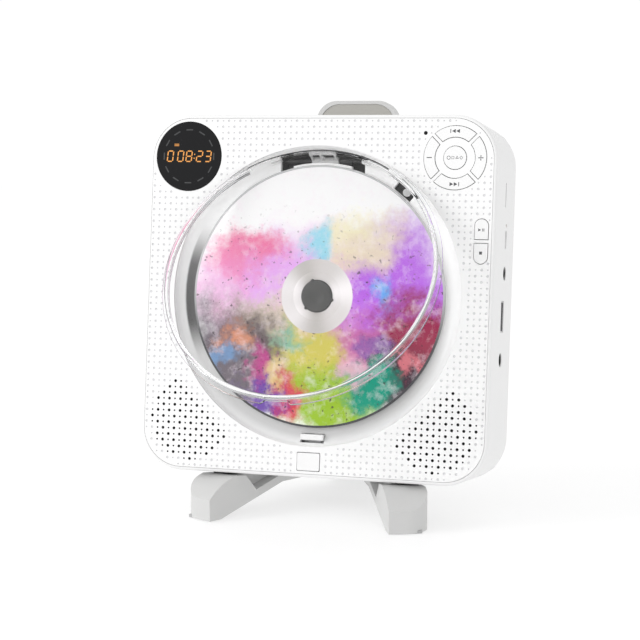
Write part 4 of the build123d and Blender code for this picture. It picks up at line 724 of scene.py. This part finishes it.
# ------------------------------------------------------------ disc
# A printed face with a silver middle and an outer edge band where the print stops short
# of the rim, painted grey at the top and near black at the bottom as painted shade.
disc_profile = [(7.5, 5.6), (7.5, 4.45), (7.6, 4.4), (11.0, 4.4), (11.15, 4.46), (11.5, 4.46), (11.65, 4.4),
                (17.0, 4.4), (17.05, 4.39), (58.9, 4.39), (59.0, 4.4), (59.85, 4.4), (60.0, 4.5), (60.0, 5.5),
                (59.85, 5.6), (7.5, 5.6)]
disc_kinds = [0, 0, 0, 0, 0, 0, 0, 1, 1, 1, 2, 2, 2, 2, 0]
disc_edge_painted_shade = moulded("disc_edge_painted_shade", (0.55, 0.55, 0.56), rough=0.2, tint=0.05, coat=0.5)
tree, shader, plain = open_colour(disc_edge_painted_shade)
spot = node("ShaderNodeSeparateXYZ")
link(node("ShaderNodeTexCoord").outputs["Object"], spot.inputs[0])
DISC_Z = disc_middle.z / MM
# Painted shade: the edge turns near black towards the bottom.
tone = over(plain, (0.04, 0.04, 0.045), ramp(spot.outputs["Z"], DISC_Z + 10.0, DISC_Z - 25.0))
link(tone, shader.inputs["Base Color"])
disc_finishes = [silver, print_mix, disc_edge_painted_shade]
disc = lathe("disc_face", disc_profile, disc_finishes, "platter", 192, disc_kinds)
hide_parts("disc")

# ------------------------------------------------------------ hub with three catches
# A low dark boss with a chamfered rim, a dished middle and three round bumps.
hub_profile = [(0.0, 3.72), (2.4, 3.75), (3.0, 3.52), (6.3, 3.5), (6.9, 3.62), (7.35, 4.1), (7.35, 5.6),
               (0.0, 5.6)]
hub = lathe("hub_boss", hub_profile, [hub_grey], "platter", 72)
points, faces = [], []
for k in range(3):
    turn = math.radians(108 + 120 * k)
    cx, cz = 7.3 * math.cos(turn), 7.3 * math.sin(turn)
    for level, (r, y) in enumerate(((0.86, 4.36), (0.84, 3.95), (0.66, 3.68), (0.3, 3.58))):
        points += [(x, y, z) for x, z in ring_outline(cx, cz, r, 16)]
    base = k * 64
    for level in range(3):
        for s in range(16):
            a, b = base + level * 16, base + (level + 1) * 16
            faces.append((a + s, a + (s + 1) % 16, b + (s + 1) % 16, b + s))
    faces.append(tuple(base + 48 + s for s in range(16)))
    faces.append(tuple(base + s for s in range(15, -1, -1)))
catches = build("hub_catches", points, faces, [hub_grey], "platter", smooth=True)
mend(catches)
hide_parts("disc_hub")

# ------------------------------------------------------------ clear lid
# A thin dish turned in one piece: a flat face, a rounded front edge, a straight
# skirt and a low flange that is left off at the top where the hinge arm sits.
LID_OPEN = math.radians(26.4)
HINGE = Vector((0, 12.5, 62.5))
SWING = Matrix.Translation(HINGE) @ Matrix.Rotation(-LID_OPEN, 4, "X") @ Matrix.Translation(-HINGE)
lid_profile = [(0.0, 1.5), (30.0, 1.5), (61.2, 1.5), (61.75, 1.62), (62.15, 1.95), (62.3, 2.4), (62.3, 4.8),
               (64.0, 4.8), (64.1, 4.9), (64.1, 5.9), (64.0, 6.0), (60.9, 6.0), (60.9, 3.3), (60.7, 3.0),
               (60.4, 2.9), (30.0, 2.9), (0.0, 2.9)]
lid_kinds = [0, 0, 0, 2, 2, 2, 2, 2, 1, 2, 2, 2, 2, 2, 0, 0]


def lid_radius(k, angle, r):
    across = abs(r * math.cos(angle))
    if r > 62.3 and math.sin(angle) > 0 and across < 34.0:
        return 62.3
    if r > 62.3 and math.sin(angle) < 0 and across < 6.15:
        return 62.3
    return r


def lid_sector(k, angle, kind):
    """The rim has a near-black band of painted shade, round its corner before the hinge and on its skirt
    further round the top; it is clear beside the hinge and bright elsewhere.
    """
    from_top = abs(math.degrees(angle) - 90)
    if from_top < 33 and k > 1:
        return 3 if k in (2, 3, 4) else 0
    return 3 if k == 4 and from_top < 66 else kind


# The rim band and the flange edge carry painted shade.
lid_finishes = [clear, clear_edge_painted_shade, clear_rim, rim_painted_shade]
lid = lathe("lid_dish", lid_profile, lid_finishes, "lid", 240, lid_kinds, SWING, lid_radius,
            lid_sector)
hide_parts("dust_lid")

# ------------------------------------------------------------ face plate of the stand
# A warm grey plate lies in the sunk face of the tall plate behind the player, and
# leaves its rim free.
SPINE_TOP, FACE_LOW, FACE_HALF, FACE_CORNER = 96.8, 54.0, 18.85, 9.95
face = []
for side, start in ((-1, math.pi), (1, math.pi / 2)):
    cx, cz = side * (FACE_HALF - FACE_CORNER), SPINE_TOP - 1.65 - FACE_CORNER
    for k in range(9):
        turn = start - math.pi / 2 * k / 8
        face.append((cx + FACE_CORNER * math.cos(turn), cz + FACE_CORNER * math.sin(turn)))
face += [(FACE_HALF + 0.34, FACE_LOW), (-FACE_HALF - 0.34, FACE_LOW)]
marks("stand_face", [face], 60.98, 0.7, face_grey, "stand")

# ------------------------------------------------------------ display
# Amber digits of seven bars, a small amber mark and a faint ring of dashes, just
# proud of the black window.
WINDOW_X, WINDOW_Z = -63.25, 63.25
DIGITS = {"0": "abcdef", "2": "abged", "3": "abgcd", "8": "abcdefg"}
BARS = {"a": (0, 2.4, 0), "d": (0, -2.4, 0), "g": (0, 0, 0), "b": (1.35, 1.2, 1), "c": (1.35, -1.2, 1),
        "f": (-1.35, 1.2, 1), "e": (-1.35, -1.2, 1)}
digit_bars = []
for number, middle in (("0", -9.2), ("0", -4.1), ("8", 0.1), ("2", 5.3), ("3", 9.5)):
    for letter in DIGITS[number]:
        x, z, upright = BARS[letter]
        size = (0.52, 1.9) if upright else (1.95, 0.52)
        corners = bar(x, z, *size)
        digit_bars.append([(WINDOW_X + middle + a + 0.1 * b, WINDOW_Z + b) for a, b in corners])
for z in (-0.9, 0.9):
    digit_bars.append(bar(WINDOW_X + 2.75 + 0.1 * z, WINDOW_Z + z, 0.5, 0.5))
marks("display_digits", digit_bars, -0.205, 0.03, amber, "player")
mark_bars = [bar(WINDOW_X - 6.2, WINDOW_Z + up, 2.3, 0.3) for up in (4.9, 5.6)]
marks("display_mark", mark_bars, -0.205, 0.03, amber, "player")
dashes = []
for k in range(12):
    turn = math.radians(30 * k + 90)
    x, z = WINDOW_X + 12.3 * math.cos(turn), WINDOW_Z + 12.3 * math.sin(turn)
    dashes.append(bar(x, z, 3.3, 0.6, turn + math.pi / 2))
marks("display_dashes", dashes, -0.205, 0.02, faint_grey, "player")

# ------------------------------------------------------------ key symbols
# Plain printed signs: skips above and below, plus and minus at the sides, four
# small shapes on the middle key, and play, pause and stop signs at the edge.
PAD_X, PAD_Z = 63.25, 63.25
PRINT_Y, PRINT_T = -0.29, 0.03


def triangle(x, z, size, way):
    back, tip, half = x - way * size * 0.5, x + way * size * 0.5, size * 0.52
    return [(back, z - half), (tip, z), (back, z + half)]


skip = 1.7
upper, under, sideways = PAD_Z + 11.85, PAD_Z - 11.75, 11.7
back_sign = [bar(PAD_X - 2.3, upper, 0.34, 1.8), triangle(PAD_X - 0.9, upper, skip, -1),
             triangle(PAD_X + 1.0, upper, skip, -1)]
marks("previous_sign", back_sign, PRINT_Y, PRINT_T, ink, "previous")
ahead_sign = [bar(PAD_X + 2.1, under, 0.34, 1.8), triangle(PAD_X + 0.7, under, skip, 1),
              triangle(PAD_X - 1.2, under, skip, 1)]
marks("next_sign", ahead_sign, PRINT_Y, PRINT_T, ink, "next")
plus = [bar(PAD_X + sideways, PAD_Z, 2.4, 0.4), bar(PAD_X + sideways, PAD_Z + 0.8, 0.4, 0.8),
        bar(PAD_X + sideways, PAD_Z - 0.8, 0.4, 0.8)]
marks("plus_sign", plus, PRINT_Y, PRINT_T, ink, "louder")
minus = [bar(PAD_X - sideways, PAD_Z, 2.4, 0.4)]
marks("minus_sign", minus, PRINT_Y, PRINT_T, ink, "quieter")


def hollow(outline, inner):
    """A closed outline as thin bars, so that it reads as a drawn shape."""
    out = []
    count = len(outline)
    for k in range(count):
        m = (k + 1) % count
        out.append([outline[k], outline[m], inner[m], inner[k]])
    return out


signs = []
for x, sides, start in ((-2.85, 18, 0.0), (-0.95, 4, math.pi / 4), (0.95, 3, math.pi / 2), (2.85, 4, 0.0)):
    outer = ring_outline(PAD_X + x, PAD_Z, 0.86, sides, start)
    inner = ring_outline(PAD_X + x, PAD_Z, 0.62 if sides > 3 else 0.45, sides, start)
    signs += hollow(outer, inner)
marks("mode_sign", signs, PRINT_Y, PRINT_T, ink, "mode")
ARCH_X = 76.3
marks("play_sign", [triangle(ARCH_X - 0.75, 31.4, 1.3, 1), bar(ARCH_X + 0.55, 31.4, 0.3, 1.3),
                    bar(ARCH_X + 1.15, 31.4, 0.3, 1.3)], PRINT_Y, PRINT_T, ink, "play")
marks("stop_sign", [bar(ARCH_X, 21.2, 1.3, 1.3)], PRINT_Y, PRINT_T, ink, "stop")

# ------------------------------------------------------------ shading of the CAD pieces
# Curved faces of the moulded pieces are shaded smooth, with their edges kept.
for name, piece in nodes.items():
    if piece.type == "MESH" and not piece.hide_render:
        smoother = piece.modifiers.new("edges", "WEIGHTED_NORMAL")
        smoother.keep_sharp = True

# ------------------------------------------------------------ floor, light and camera
# A pale, faintly glowing floor, a bright even sky and a large soft light from the
# front left, seen from the right of the front and slightly above.
bpy.ops.mesh.primitive_plane_add(size=8.0, location=(0, 0, -0.0002))
floor = bpy.context.active_object
floor.name = "floor"
floor_white, tree, shader = new_material("floor_white")
shader.inputs["Base Color"].default_value = (0.46, 0.46, 0.46, 1)
shader.inputs["Roughness"].default_value = 0.9
shader.inputs["Specular IOR Level"].default_value = 0.0
shader.inputs["Emission Color"].default_value = (1.0, 1.0, 1.0, 1)
shader.inputs["Emission Strength"].default_value = 0.56
paint(floor, floor_white)
floor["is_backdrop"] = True

world = bpy.data.worlds.new("studio")
bpy.context.scene.world = world
world.use_nodes = True
tree = world.node_tree
sky = tree.nodes["Background"]
sky.inputs[0].default_value = (1.0, 1.0, 1.0, 1)
side = node("ShaderNodeSeparateXYZ")
link(node("ShaderNodeTexCoord").outputs["Generated"], side.inputs[0])
dim = node("ShaderNodeMapRange")
for label, value in (("From Min", 0.0), ("From Max", 0.9), ("To Min", 1.02), ("To Max", 0.80)):
    dim.inputs[label].default_value = value
link(side.outputs["X"], dim.inputs["Value"])
link(dim.outputs[0], sky.inputs[1])


def soft_light(name, where, aim, size, power):
    data = bpy.data.lights.new(name, "AREA")
    data.shape = "DISK"
    data.size = size
    data.energy = power
    light = bpy.data.objects.new(name, data)
    bpy.context.scene.collection.objects.link(light)
    light.location = where
    light.rotation_mode = "QUATERNION"
    light.rotation_quaternion = (Vector(aim) - Vector(where)).to_track_quat("-Z", "Y")
    return light


soft_light("key", (-1.25, -0.95, 0.7), (0, 0, 0.1), 0.8, 8.0)

scene = bpy.context.scene
scene.view_settings.view_transform = "Standard"
scene.view_settings.look = "None"
camera_data = bpy.data.cameras.new("camera")
camera_data.sensor_width = 36.0
camera_data.lens = 97.41
camera = bpy.data.objects.new("camera", camera_data)
scene.collection.objects.link(camera)
azimuth, elevation = math.radians(17.243), math.radians(6.375)
level = math.cos(elevation)
back = Vector((math.sin(azimuth) * level, -math.cos(azimuth) * level, math.sin(elevation)))
camera.location = ORIGIN + Vector((234.65, -746.90, 76.57)) * MM
camera.rotation_mode = "QUATERNION"
camera.rotation_quaternion = (-back).to_track_quat("-Z", "Y")
camera_data.clip_start = 0.05
scene.camera = camera

low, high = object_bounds()
